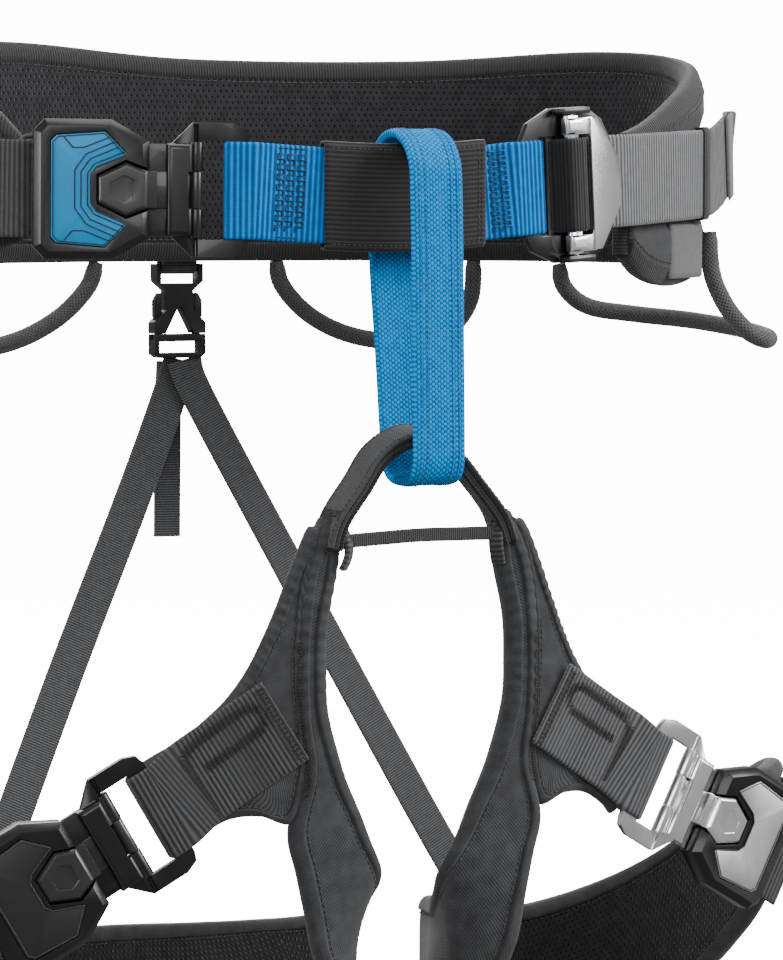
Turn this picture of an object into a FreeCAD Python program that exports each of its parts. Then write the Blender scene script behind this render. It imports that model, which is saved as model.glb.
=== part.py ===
import FreeCAD, Part
import math
import os

# Climbing harness: padded waist belt, tie-in webbing with a protector, belay loop, leg loops on a
# bridge, click buckles, one triple-lock adjuster, gear loops and elastic risers with a
# side-release buckle. Millimetres, +Z up, +X to the wearer's left, +Y to the wearer's back.
# The origin is the centre of the waist ring, at the height of the webbing's middle in front.

os.makedirs("parts", exist_ok=True)
V = FreeCAD.Vector
UP = V(0, 0, 1)

# ---- driving dimensions ----
RING_HALF_WIDTH = 222.0     # waist ring, middle of the webbing, side to side
RING_HALF_DEPTH = 127.0     # waist ring, front to back
HIP_FULLNESS = 10.0         # extra half width over the hips
WEB_WIDTH = 44.0            # waist, tie-in and leg webbing
WEB_THICK = 2.0
GAP = 0.3                   # air between layers that aren't sewn into one solid
SHELL = 1.5                 # outer fabric and liner of a pad
BELT_FOAM = 7.8
LEG_FOAM = 6.5
BINDING = 4.0               # height of the belt's edge binding
BELT_FACE = -2.6            # outer face of the belt pad, measured out from the ring
KEEPER_THICK = 1.0

BELT_START, BELT_END = 40.0, 310.0      # where the padded belt begins and ends, degrees round
PROTECTOR_START, PROTECTOR_END = -10.3, 11.3
PROTECTOR_HALF = 25.0
LOOP_X, LOOP_WIDTH, LOOP_THICK = 6.0, 26.5, 4.2     # belay loop
BRIDGE_WIDTH = 18.0
BRIDGE_THICK = 6.8
BRIDGE_Y, BRIDGE_Z = -137.0, -111.0     # middle of the bridge at its top
GEAR_TUBE = 4.75            # radius of a gear loop's sleeve
RISER_WIDTH, RISER_THICK = 19.0, 1.6
RISER_DRIFT = 3.0           # the risers hang a little towards the wearer's left

# Click buckle, in its own frame: x from the socket to the webbing bar, y across, z outwards.
SOCKET_BAR = -44.4          # middle of the bar that the socket's webbing wraps
FRAME_BAR = 52.2            # middle of the bar that the frame's webbing wraps
HINGE_X, HINGE_Z = 33.4, 2.6
PIN_R, FRAME_BORE, LATCH_BORE = 1.2, 1.22, 1.28
KNUCKLE_R = 3.2
NECK_HALF = 8.25
TONGUE_HALF = 20.8
FRAME_BAR_BOX = (48.4, 57.4, -0.4, 3.2)     # x and z limits of the frame's webbing bar
SOCKET_BAR_BOX = (-46.2, -42.7, -4.8, -1.9)

# Adjuster, in its own frame: x away from the tie-in webbing, y up, z outwards.
PLATE_HALF_THICK = 1.5
ANCHOR_BAR_BOX = (-31.0, -18.0, -1.5, 1.5)
SLIDER_BAR_HALF, SLIDER_BAR_R, SLIDER_Z = 2.8, 1.7, 4.7
WRAP_CLEAR = 3.0            # half height left free round the slider bar, so that it can tilt
ADJUSTER_OUT = 2.4          # middle of the plate, out from the ring

# Height of the webbing's middle, round the ring: (degrees, millimetres).
BELT_RISE = [(-180, 19), (-90, 12), (-60, 3.5), (-24, 2), (0, -1.5), (22, 4.2), (37, 7.3),
             (63, 11), (90, 14), (180, 19), (270, 12), (300, 3.5), (336, 2)]
BELT_TOP = [(38, 27), (46, 34), (60, 50), (79, 65), (112, 74), (147, 69.5), (180, 69.5),
            (208, 75.5), (248, 70), (281, 60), (300, 48), (306, 38), (310, 26)]
BELT_BOTTOM = [(38, -25), (44, -38), (52, -43), (62, -42), (80, -36), (112, -33), (180, -32),
               (248, -33), (285, -34), (300, -30), (310, -20)]

# Plan of a leg loop, the wearer's left one: a closed curve round the thigh.
LEG_PLAN = [(24, -140), (58, -146), (98, -138), (136, -128), (172, -125), (207, -113), (236, -86),
            (251, -45), (249, 2), (230, 40), (198, 64), (158, 72), (118, 58), (88, 22),
            (66, -28), (48, -78), (28, -120)]
INSEAM_FULLNESS = 9.0       # how far the inner thigh comes in, below the necks
# Edges of the leg pad: pairs of (distance round the leg, height), the upper edge, then the lower.
LEG_PAD = [((16, -151), (26, -149)), ((19, -172), (35, -170)), ((24, -195), (38.5, -192)),
           ((25, -215), (40, -216)), ((24, -236), (39, -240)), ((17, -260), (36, -266)),
           ((8, -282), (43, -291)), ((2, -300), (41, -309)), ((-7, -316), (38, -330)),
           ((-23, -329), (33, -352)), ((-46, -338), (20, -375)), ((-78, -344), (-12, -397)),
           ((-115, -350), (-60, -416)), ((-150, -355), (-110, -431)), ((-190, -361), (-165, -444)),
           ((-230, -369), (-220, -455)), ((-268, -378), (-268, -463)),
           ((-300, -374), (-305, -457)), ((-335, -361), (-345, -440)),
           ((-370, -341), (-385, -412)), ((-400, -317), (-425, -379)),
           ((-430, -297), (-460, -351)), ((-470, -285), (-495, -335)),
           ((-505, -285), (-513, -331)), ((-517, -290), (-519, -326))]
# Edges of the front panel, from the neck to the buckle: outer edge, then seam and window edge.
FRONT_PANEL = [((33, -153), (31.4, -156)), ((42, -172), (38.4, -176)), ((49, -189), (41.4, -196)),
               ((56, -204), (42.6, -219)), ((63, -217), (41.6, -243)), ((72, -229), (40, -264)),
               ((80, -236.5), (46, -285)), ((88, -243), (58, -281.5)), ((97, -249), (72, -282.5)),
               ((105, -253.5), (84, -289)), ((111, -257), (89.5, -294.5))]
PATCH_START, PATCH_END = (46, -238), (98, -271)     # middle of the front webbing on the panel
PATCH_LIFT = 1.9                                    # middle of the leg webbing, off the fabric
BUCKLE_ON_LEG = (148.5, -303)                       # middle of the socket, on the leg form
BUCKLE_FALL = 30.5                                  # slope of the leg buckle, degrees
BUCKLE_OUT = 4.6                                    # middle of the frame's bar, out from the leg form
SOCKET_OUT = 9.0                                    # middle of the socket's bar
SIDE_WEB = [(203, -320), (226, -313), (250, -317), (275, -331), (300, -350)]

# Gear loops, the wearer's left side: (degrees round, out from the ring, height).
SIDE_LOOP = [(121, -7, -35.5), (120, -5, -48), (116, 2, -58), (108, 12, -62), (98, 21, -65),
             (88, 29, -69), (79, 33, -72), (74.5, 30.5, -73), (71.6, 22, -68.5), (70.9, 12, -57),
             (70.9, 5, -43), (71, 2.7, -31), (71, 2.3, -18)]
REAR_LOOP = [(166.5, -7, -33.5), (165.5, -5, -46), (162, -2, -60), (157, 1, -70.5), (151, 2, -76),
             (145, 2, -75.5), (139.5, -1, -68.5), (136.5, -4, -54), (136, -7, -33.5)]


# ---- small geometry helpers ----
def save(name, shape):
    shape.exportStep(os.path.join("parts", name + ".step"))


def profile(points, x):
    """Smooth curve through (x, value) points, read at x."""
    last = len(points) - 1
    i = max(k for k in range(last) if points[k][0] <= x or k == 0)

    def slope(k):
        a, b = max(k - 1, 0), min(k + 1, last)
        return (points[b][1] - points[a][1]) / (points[b][0] - points[a][0])

    width = points[i + 1][0] - points[i][0]
    u = min(max((x - points[i][0]) / width, 0.0), 1.0)
    start = points[i][1] * (2 * u ** 3 - 3 * u ** 2 + 1) + slope(i) * width * (u ** 3 - 2 * u ** 2 + u)
    return start + points[i + 1][1] * (3 * u ** 2 - 2 * u ** 3) + slope(i + 1) * width * (u ** 3 - u ** 2)


def blend_points(p0, p1, p2, p3, u):
    """Catmull-Rom curve between p1 and p2."""
    return (p1 * 2 + (p2 - p0) * u + (p0 * 2 - p1 * 5 + p2 * 4 - p3) * u ** 2
            + (p1 * 3 - p0 - p2 * 3 + p3) * u ** 3) * 0.5


def smooth(points, steps):
    """The points of a list with a smooth run of steps between each two."""
    padded = [points[0] * 2 - points[1]] + points + [points[-1] * 2 - points[-2]]
    made = [blend_points(*padded[i:i + 4], k / steps)
            for i in range(len(points) - 1) for k in range(steps)]
    return made + [points[-1]]


def turn(points, i):
    """Direction of travel at point i of a path."""
    return (points[min(i + 1, len(points) - 1)] - points[max(i - 1, 0)]).normalize()


def loft(sections):
    """Closed solid through polygons that all have the same number of corners."""
    wires = [Part.makePolygon(corners + corners[:1]) for corners in sections]
    return Part.makeLoft(wires, True, True)


def ribbon(points, across, half_width, thick, lift=0.0):
    """Flat band along a path: across is the direction of its width, lift moves it off the path."""
    sections = []
    for i, p in enumerate(points):
        wide = across[i] if isinstance(across, list) else across
        half = half_width[i] if isinstance(half_width, list) else half_width
        out = turn(points, i).cross(wide).normalize()
        low, high = p + out * (lift - thick / 2), p + out * (lift + thick / 2)
        sections.append([low - wide * half, low + wide * half, high + wide * half, high - wide * half])
    return loft(sections)


def tube(points, radius, sides=10):
    """Round sleeve along a path."""
    sections = []
    side = turn(points, 0).cross(UP if abs(turn(points, 0).z) < 0.9 else V(1, 0, 0)).normalize()
    for i, p in enumerate(points):
        along = turn(points, i)
        side = (side - along * side.dot(along)).normalize()
        other = along.cross(side)
        angles = [2 * math.pi * k / sides for k in range(sides)]
        sections.append([p + side * radius * math.cos(a) + other * radius * math.sin(a) for a in angles])
    return loft(sections)


def arc(centre, radius, start, end, steps):
    """Points of an arc in a plane, angles in degrees."""
    angles = [math.radians(start + (end - start) * k / steps) for k in range(steps + 1)]
    return [(centre[0] + radius * math.cos(a), centre[1] + radius * math.sin(a)) for a in angles]


def round_bar(bar, reach, side):
    """Half turn of webbing round a bar's box (x0, x1, z0, z1), coming in on top and leaving
    underneath; side is 1 to pass the bar's high-x face and -1 to pass its low-x face."""
    x0, x1, z0, z1 = bar
    edge = x1 if side > 0 else x0
    top = arc((edge, z1), reach, 90, 90 - 90 * side, 3)
    bottom = arc((edge, z0), reach, 90 - 90 * side, 90 - 180 * side, 3)
    return top + bottom


def plate(outline, z0, z1):
    """Flat plate with a straight-sided outline of (x, y) corners."""
    wire = Part.makePolygon([V(x, y, z0) for x, y in outline + outline[:1]])
    return Part.Face(wire).extrude(V(0, 0, z1 - z0))


def mirrored(half):
    """Outline from its upper half: the same points again below the x axis."""
    return half + [(x, -y) for x, y in reversed(half)]


def block(x0, x1, y0, y1, z0, z1):
    return Part.makeBox(x1 - x0, y1 - y0, z1 - z0, V(x0, y0, z0))


def rod(centre, axis, radius, length):
    """Cylinder with its middle at centre."""
    return Part.makeCylinder(radius, length, centre - axis * (length / 2), axis)


def soften(shape, radius, chosen):
    """Rounds the edges that chosen picks; it takes an edge's middle point."""
    edges = [e for e in shape.Edges if chosen(e, e.CenterOfMass)]
    return shape.makeFillet(radius, edges)


# ---- the two forms that the soft parts lie on ----
def ring(t, out=0.0, z=0.0):
    """Point of the waist ring, t degrees from the front towards the wearer's left."""
    c, s = math.cos(math.radians(t)), math.sin(math.radians(t))
    along = V((RING_HALF_WIDTH + 7 * HIP_FULLNESS * s ** 6) * c, RING_HALF_DEPTH * s, 0).normalize()
    x = RING_HALF_WIDTH * s + HIP_FULLNESS * s ** 7 + along.y * out
    return V(x, -RING_HALF_DEPTH * c - along.x * out, z)


def belt_point(t, out):
    return ring(t, out, profile(BELT_RISE, t))


def steps_between(start, end, step):
    count = max(int(round(abs(end - start) / step)), 1)
    return [start + (end - start) * k / count for k in range(count + 1)]


PLAN = [V(x, y, 0) for x, y in LEG_PLAN]
PLAN_CURVE = [blend_points(PLAN[i - 1], PLAN[i], PLAN[(i + 1) % len(PLAN)],
                           PLAN[(i + 2) % len(PLAN)], k / 12)
              for i in range(len(PLAN)) for k in range(12)]
PLAN_DISTANCE = [0.0]
for _i, _p in enumerate(PLAN_CURVE):
    PLAN_DISTANCE.append(PLAN_DISTANCE[-1] + (PLAN_CURVE[(_i + 1) % len(PLAN_CURVE)] - _p).Length)


def inseam(s, z):
    """How far the leg form is moved towards the other leg at a point."""
    round_inside = (s + PLAN_DISTANCE[-1] / 2) % PLAN_DISTANCE[-1] - PLAN_DISTANCE[-1] / 2
    near = max(1.0 - ((round_inside + 20) / 120) ** 2, 0.0)
    down = min(max((-265 - z) / 70, 0.0), 1.0)
    return INSEAM_FULLNESS * near ** 2 * down ** 2 * (3 - 2 * down)


def leg(s, z, out=0.0, side=1):
    """Point on a leg form, s round from the inner front; side is -1 for the wearer's right leg."""
    inwards = inseam(s, z)
    s = s % PLAN_DISTANCE[-1]
    i = max(k for k in range(len(PLAN_CURVE)) if PLAN_DISTANCE[k] <= s)
    a, b = PLAN_CURVE[i], PLAN_CURVE[(i + 1) % len(PLAN_CURVE)]
    before, after = PLAN_CURVE[i - 1], PLAN_CURVE[(i + 2) % len(PLAN_CURVE)]
    u = (s - PLAN_DISTANCE[i]) / (PLAN_DISTANCE[i + 1] - PLAN_DISTANCE[i])
    along = ((b - before) * (1 - u) + (after - a) * u).normalize()
    p = a + (b - a) * u + V(along.y, -along.x, 0) * out
    return V((p.x - inwards) * side, p.y, z)


def belt_layer(out0, out1, low, high, start=BELT_START, end=BELT_END, step=6.0):
    """Layer of the belt between two distances out, with its lower and upper edge as functions."""
    sections = []
    for t in steps_between(start, end, step):
        sections.append([ring(t, out0, low(t)), ring(t, out0, high(t)), ring(t, out1, high(t)),
                         ring(t, out1, low(t))])
    return loft(sections)


def leg_layer(edges, out0, out1, side, steps=2):
    """Layer of a leg panel between its two edges."""
    upper = smooth([V(s, z, 0) for (s, z), _ in edges], steps)
    lower = smooth([V(s, z, 0) for _, (s, z) in edges], steps)
    sections = []
    for a, b in zip(upper, lower):
        high, low = leg(a.x, a.y, 0, side), leg(b.x, b.y, 0, side)
        out = (leg(a.x, a.y, 1, side) - high + leg(b.x, b.y, 1, side) - low).normalize()
        sections.append([low + out * out0, high + out * out0, high + out * out1, low + out * out1])
    return loft(sections)


# ---- frames of the buckles ----
def frame_matrix(origin, x_axis, z_hint):
    """Placement with its x axis given and its z axis as near z_hint as it can be."""
    x = V(x_axis).normalize()
    z = (z_hint - x * z_hint.dot(x)).normalize()
    y = z.cross(x)
    return FreeCAD.Matrix(x.x, y.x, z.x, origin.x, x.y, y.y, z.y, origin.y,
                          x.z, y.z, z.z, origin.z, 0, 0, 0, 1)


def placed(shape, matrix):
    made = shape.copy()
    made.transformShape(matrix)
    return made


def waist_buckle_frame():
    socket, bar = belt_point(-48.9, 6.6), belt_point(-20.4, 3.0)
    along = (bar - socket).normalize()
    return frame_matrix(socket - along * SOCKET_BAR, along, ring(-34.5, 1) - ring(-34.5, 0))


def leg_buckle_frame(side):
    s, z = BUCKLE_ON_LEG
    run, fall = math.cos(math.radians(BUCKLE_FALL)), math.sin(math.radians(BUCKLE_FALL))
    socket = leg(s - SOCKET_BAR * run, z + SOCKET_BAR * fall, SOCKET_OUT, side)
    bar = leg(s - FRAME_BAR * run, z + FRAME_BAR * fall, BUCKLE_OUT, side)
    along = (bar - socket).normalize()
    normal = leg(s, 0, 1, side) - leg(s, 0, 0, side)
    return frame_matrix(socket - along * SOCKET_BAR, along, normal)


def adjuster_frame():
    along = belt_point(29, ADJUSTER_OUT) - belt_point(20, ADJUSTER_OUT)
    return frame_matrix(belt_point(24.4, ADJUSTER_OUT), along, ring(24.4, 1) - ring(24.4, 0))


WAIST_BUCKLE = waist_buckle_frame()
LEG_BUCKLES = {"right": leg_buckle_frame(-1), "left": leg_buckle_frame(1)}
ADJUSTER = adjuster_frame()
SIDES = {"right": -1, "left": 1}


# ---- click buckle ----
SOCKET_OUTLINE = mirrored([(-39.9, 26), (-35, 31.4), (-5, 31.4), (12, 21.8)])
LATCH_HEAD = mirrored([(-11.3, 6), (1.5, 12.2), (11.2, 8.25)])
LATCH_SEAT = mirrored([(-11.9, 6.7), (1.5, 13.3), (11.8, 9.3), (13, 9.3)])
INLAY = [(-32.5, 22), (-30, 24.5), (-8, 26.2), (2, 16), (-12, 10.2), (-14.6, 6.6),
         (-14.6, -6.6), (-12, -10.2), (2, -16), (-8, -26.2), (-30, -24.5), (-32.5, -22)]
SOCKET_TOP = 9.8


def buckle_base():
    """Back plate of the socket, with the bar for its webbing."""
    body = plate(mirrored([(-46.2, 23.8), (-39, 25.5), (-34, 29.5), (-6, 29.5), (10.5, 20.5)]), -4.8, -1.9)
    return body.cut(block(-42.7, -38.9, -22.6, 22.6, -6, 0))


def buckle_cover():
    """Socket housing: bevelled shell with the latch's seat, the tongue's slot and the inlay's bed."""
    body = plate(SOCKET_OUTLINE, -1.6, SOCKET_TOP)
    body = body.cut(block(-13, 20, -21.2, 21.2, -2, 1.9))
    top = [e for e in body.Edges if abs(e.CenterOfMass.z - SOCKET_TOP) < 0.01]
    body = body.makeChamfer(3.2, top)
    body = body.cut(plate(LATCH_SEAT, 3.4, SOCKET_TOP + 1))
    body = body.cut(block(7.6, 20, -8.9, 8.9, 1.5, SOCKET_TOP + 1))
    return body.cut(plate(INLAY, SOCKET_TOP - 1.4, SOCKET_TOP + 1))


def buckle_inlay():
    """Chevron panel set into the housing round the latch."""
    outline = [(x * 0.985 - 0.2, y * 0.98) for x, y in INLAY]
    return plate(INLAY, SOCKET_TOP - 1.1, SOCKET_TOP + 0.35).common(
        plate(outline, SOCKET_TOP - 1.1, SOCKET_TOP + 0.35))


def buckle_frame():
    """Webbing frame with its tongue, rolled hinge lip and window."""
    outline = mirrored([(19.7, 17), (21.5, 20), (32, 30.5), (50, 30.5), (56, 28), (57.4, 24)])
    body = plate(outline, -0.4, 3.2)
    body = body.cut(block(34.4, 48.4, -22.4, 22.4, -2, 9))
    band = soften(block(19.9, 31.5, -20.8, 20.8, 0.0, 8.4), 2.6, lambda e, c: abs(c.z - 8.4) < 0.01)
    lip = rod(V(HINGE_X, 0, HINGE_Z), V(0, 1, 0), KNUCKLE_R, 43.2)
    body = body.fuse([band, lip])
    channel = plate([(18, -0.2), (30.5, -0.2), (30.5, 4.4), (18, 7.0)], -NECK_HALF - 0.5, NECK_HALF + 0.5)
    channel.rotate(V(0, 0, 0), V(1, 0, 0), 90)
    body = body.cut(channel)
    body = body.cut(block(29.4, 38, -NECK_HALF - 0.5, NECK_HALF + 0.5, -2, 9))
    body = body.cut(rod(V(HINGE_X, 0, HINGE_Z), V(0, 1, 0), FRAME_BORE, 60))
    tongue = plate(mirrored([(-9.5, 14), (-3, TONGUE_HALF), (29.4, TONGUE_HALF)]), -1.4, 1.2)
    tongue = tongue.cut(block(29.0, 40, -NECK_HALF - 0.5, NECK_HALF + 0.5, -3, 3))
    return body.fuse(tongue).removeSplitter()


def buckle_pin():
    return rod(V(HINGE_X, 0, HINGE_Z), V(0, 1, 0), PIN_R, 43.0)


def buckle_latch():
    """Latch lever: a knuckle on the pin, a neck under the band and a six-sided head with a dimple."""
    head = plate(LATCH_HEAD, 3.8, 10.2)
    head = head.makeChamfer(1.5, [e for e in head.Edges if abs(e.CenterOfMass.z - 10.2) < 0.01])
    dimple = plate(mirrored([(-5.5, 3.2), (0.5, 6.2), (5.0, 4.2)]), 9.5, 11)
    head = head.cut(dimple)
    neck = block(10.6, HINGE_X, -NECK_HALF, NECK_HALF, 1.7, 3.4)
    riser = block(8.0, 15.5, -NECK_HALF, NECK_HALF, 2.2, 6.8)
    knuckle = rod(V(HINGE_X, 0, HINGE_Z), V(0, 1, 0), KNUCKLE_R - 0.3, 2 * NECK_HALF)
    body = head.fuse([neck, riser, knuckle]).cut(rod(V(HINGE_X, 0, HINGE_Z), V(0, 1, 0), LATCH_BORE, 60))
    return body.removeSplitter()


CLICK_BUCKLE = {"base": buckle_base(), "cover": buckle_cover(), "inlay": buckle_inlay(),
                "frame": buckle_frame(), "pin": buckle_pin(), "latch": buckle_latch()}


def click_buckle(name, matrix):
    for piece, shape in CLICK_BUCKLE.items():
        save(f"{name}_buckle_{piece}", placed(shape, matrix))


# ---- adjuster ----
def adjuster_base():
    """Back plate with the slot for the tie-in webbing, the slot for the strap and two lugs."""
    outline = mirrored([(-31, 20), (-25, 30), (-10, 36.5), (14, 36.5), (24, 30), (33, 14)])
    body = plate(outline, -PLATE_HALF_THICK, PLATE_HALF_THICK)
    body = body.cut(block(-18, -13.8, -23, 23, -3, 3))
    body = body.cut(block(-12.2, -7.0, -23, 23, -3, 3))
    for side in (-1, 1):
        y0, y1 = sorted((side * 33.4, side * 36.5))
        body = body.fuse(block(-8, 10, y0, y1, 0, 8.6))
    body = body.cut(rod(V(0, 0, SLIDER_Z), V(0, 1, 0), 1.55, 90))
    return body.removeSplitter()


def adjuster_slider():
    """Slider bar with its journals, two arms and the release flange."""
    half, r = SLIDER_BAR_HALF, SLIDER_BAR_R
    core = block(-half, half, -32.6, 32.6, SLIDER_Z - r, SLIDER_Z + r)
    parts = [rod(V(x, 0, SLIDER_Z), V(0, 1, 0), r, 65.2) for x in (-half, half)]
    parts.append(rod(V(0, 0, SLIDER_Z), V(0, 1, 0), 1.5, 71.0))
    for side in (-1, 1):
        y0, y1 = sorted((side * 23.8, side * 31.5))
        parts.append(soften(block(-5, 6.5, y0, y1, 3.6, 8.2), 2.2, lambda e, c: abs(c.z - 8.2) < 0.01))
        arm = plate([(0, 3.0), (11, 5.6), (11, 8.2), (0, 8.0)], y0, y1)
        arm.rotate(V(0, 0, 0), V(1, 0, 0), 90)
        parts.append(arm)
    flange = plate(mirrored([(9, 31.0), (14, 31.0), (29.5, 11)]), 0, 1.8)
    flange.rotate(V(9, 0, 0), V(0, 1, 0), 7)
    flange.translate(V(0, 0, 7.4))
    return core.fuse(parts + [flange]).removeSplitter()


# ---- webbing ----
def local_path(points, matrix):
    """Points (x, z) of a buckle's own frame, carried to the harness."""
    return [matrix.multVec(V(x, 0, z)) for x, z in points]


WRAP = GAP + WEB_THICK / 2     # from a bar's face to the middle of the webbing round it


def upright_run(points):
    """Path points with an upright width."""
    return [(p, UP) for p in points]


def local_run(points, matrix):
    """Path points of a buckle's own frame, with their width along its bar."""
    return [(p, V(matrix.A12, matrix.A22, matrix.A32)) for p in local_path(points, matrix)]


def led_bar(bar, side, lead=1.6):
    """The turn of round_bar with its two straight ends carried past the bar's far edge."""
    far = bar[0] - lead if side > 0 else bar[1] + lead
    return [(far, bar[3] + WRAP)] + round_bar(bar, WRAP, side) + [(far, bar[2] - WRAP)]


def tie_in_path():
    """Loop round the waist buckle's bar and the adjuster's anchor bar; its ends meet in front."""
    inner, outer = -WRAP, WRAP
    path = upright_run([belt_point(t, inner) for t in steps_between(-0.3, -14.0, 3)])
    path += local_run(list(reversed(led_bar(FRAME_BAR_BOX, -1, 2.8))), WAIST_BUCKLE)
    path += upright_run([belt_point(t, outer) for t in steps_between(-14.0, 12.5, 3)])
    path += local_run(led_bar(ANCHOR_BAR_BOX, 1, 3.6), ADJUSTER)
    return path + upright_run([belt_point(t, inner) for t in steps_between(12.5, 0.3, 3)])


def waist_webbing_path():
    """From the fold at the socket, round the back, over the slider bar and back as the tail."""
    slider = (-SLIDER_BAR_HALF - SLIDER_BAR_R, SLIDER_BAR_HALF + SLIDER_BAR_R, SLIDER_Z + WRAP_CLEAR)
    under = -PLATE_HALF_THICK - WRAP
    over = PLATE_HALF_THICK + WRAP
    bend = WRAP + 0.6
    path = upright_run([belt_point(t, 2.6) for t in steps_between(291, 303, 4)])
    path += local_run(led_bar(SOCKET_BAR_BOX, 1, 1.2), WAIST_BUCKLE)
    path += upright_run([belt_point(t, 0) for t in steps_between(304, 46, 6)])
    path += upright_run([belt_point(41, 0.8), belt_point(37.5, 2.0)])
    turns = [(34, under), (15, under), (-5, under), (-8.3, under), (-9.6, -0.6), (-9.6, 2.0)]
    turns += arc((slider[0] + 0.6, slider[2] - 0.6), bend, 180, 90, 3)
    turns += arc((slider[1] - 0.6, slider[2] - 0.6), bend, 90, 0, 3)
    turns += [(8.6, over + 0.4), (11, over), (22, over), (34, over)]
    path += local_run(turns, ADJUSTER)
    path += upright_run([belt_point(38, 5.6), belt_point(42, 3.4)])
    path += upright_run([belt_point(t, 2.7) for t in steps_between(46, 66, 4)])
    return path + upright_run(tail_path())


def tail_path():
    """Free end of the waist strap past its keeper: it stands away from the hip and is folded back."""
    flare = [belt_point(t, out) + UP * up for t, out, up in (
        (70, 3.4, 0.5), (74, 5.4, 2.2), (78, 8.6, 4.8), (82, 12.6, 7.2), (84, 15.0, 8.2))]
    along = (flare[-1] - flare[-3]).normalize()
    out = along.cross(UP).normalize()
    fold = [flare[-1] + along * x + out * (y + WRAP) for x, y in arc((0, 0), WRAP, -67.5, 90, 6)]
    return flare + fold + [flare[-1] + out * 2 * WRAP - along * back for back in (6, 12)]


def webbing(path, half_width):
    return ribbon([p for p, _ in path], [wide for _, wide in path], half_width, WEB_THICK)


def save_webbing():
    half = WEB_WIDTH / 2
    save("tie_in_webbing", webbing(tie_in_path(), half))
    save("waist_webbing", webbing(waist_webbing_path(), half))
    sleeve = []
    for out, reach in ((WRAP + 1.0 + GAP + 1.6, PROTECTOR_HALF), (WRAP + 1.0 + GAP, half + GAP)):
        extra = 0.0 if reach == PROTECTOR_HALF else 2.0
        ts = steps_between(PROTECTOR_START - extra, PROTECTOR_END + extra, 3)
        sleeve.append(loft([[ring(t, d, profile(BELT_RISE, t) + z) for d, z in (
            (-out, -reach), (-out, reach), (out, reach), (out, -reach))] for t in ts]))
    save("tie_in_protector", sleeve[0].cut(sleeve[1]))
    keeper = []
    for grow, extra in ((KEEPER_THICK, 0.0), (0.0, 1.0)):
        low, high = -1.0 - GAP - grow, 3.7 + GAP + grow
        reach = half + GAP + grow
        ts = steps_between(62 - extra, 66 + extra, 2)
        keeper.append(loft([[ring(t, d, profile(BELT_RISE, t) + z) for d, z in (
            (low, -reach), (low, reach), (high, reach), (high, -reach))] for t in ts]))
    save("strap_keeper", keeper[0].cut(keeper[1]))


# ---- belt ----
def save_belt():
    def top(t):
        return profile(BELT_TOP, t)

    def bottom(t):
        return profile(BELT_BOTTOM, t)

    def inner_top(t):
        return top(t) - BINDING - GAP

    def inner_bottom(t):
        return bottom(t) + BINDING + GAP

    foam_out = BELT_FACE - SHELL - GAP
    liner_out = foam_out - BELT_FOAM - GAP
    liner_in = liner_out - SHELL
    save("waist_pad_shell", belt_layer(BELT_FACE - SHELL, BELT_FACE, inner_bottom, inner_top))
    save("waist_pad_foam", belt_layer(foam_out - BELT_FOAM, foam_out, inner_bottom, inner_top))
    save("waist_pad_liner", belt_layer(liner_in, liner_out, inner_bottom, inner_top))
    upper = belt_layer(liner_in - 0.4, BELT_FACE, lambda t: top(t) - BINDING, top)
    lower = belt_layer(liner_in - 0.4, BELT_FACE, bottom, lambda t: bottom(t) + BINDING)
    save("waist_pad_binding", Part.makeCompound([upper, lower]))

    def middle(t):
        return profile(BELT_RISE, t)

    sections = []
    near, far = BELT_FACE + GAP, 1.0 + GAP
    for t in steps_between(100, 262, 6):
        corners = [(near, 31), (far + 1.3, 27), (far + 1.3, -27), (near, -31), (near, -28), (far, -24),
                   (far, 24), (near, 28)]
        sections.append([ring(t, d, middle(t) + z) for d, z in corners])
    save("waist_pad_cover", loft(sections))
    sections = []
    for t in steps_between(51, 69, 3):
        corners = [(BELT_FACE + GAP, -41), (BELT_FACE + GAP, -14), (BELT_FACE + GAP + 2.6, -14),
                   (BELT_FACE + GAP + 2.6, -41)]
        sections.append([ring(t, d, z) for d, z in corners])
    save("belt_end_tab", loft(sections))


# ---- belay loop and bridge ----
def belay_loop():
    """Closed sewn band: over the protector at its top, round the bridge at its foot."""
    foot = [(-16, 0), (-15.6, -7.5), (-12.8, -13.6), (-6.5, -16.2), (0, -16.6), (6.5, -16.2),
            (12.8, -13.6), (16.3, -7.5), (17.5, 0)]
    foot = [(BRIDGE_Y + y, BRIDGE_Z - 4.4 + z) for y, z in foot]
    top = arc((-128.6, 7.0), 21.2, 0, 180, 8)
    centre = top + [(-151.3, -30), (-152.2, -75)] + foot + [(-114.5, -75), (-108.2, -30)]
    wires = []
    for lift in (LOOP_THICK / 2, -LOOP_THICK / 2):
        pts = []
        for i, (y, z) in enumerate(centre):
            (y0, z0), (y1, z1) = centre[i - 1], centre[(i + 1) % len(centre)]
            length = math.hypot(y1 - y0, z1 - z0)
            off_y, off_z = lift * (z1 - z0) / length, -lift * (y1 - y0) / length
            pts.append(V(LOOP_X - LOOP_WIDTH / 2, y + off_y, z + off_z))
        curve = Part.BSplineCurve()
        curve.interpolate(Points=pts, PeriodicFlag=True)
        wires.append(Part.Wire(curve.toShape()))
    outer, inner = [Part.Face(w).extrude(V(LOOP_WIDTH, 0, 0)) for w in wires]
    return outer.cut(inner)


def bridge_path():
    points = [V(x, BRIDGE_Y - y, BRIDGE_Z - fall) for x, y, fall in (
        (-41, 4.5, 36.5), (-30, 3.5, 22), (-17.5, 1, 7.2), (0, 0, 0),
        (17.5, 1, 7.2), (30, 3.5, 22), (41, 4.5, 36.5))]
    return smooth(points, 4)


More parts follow.
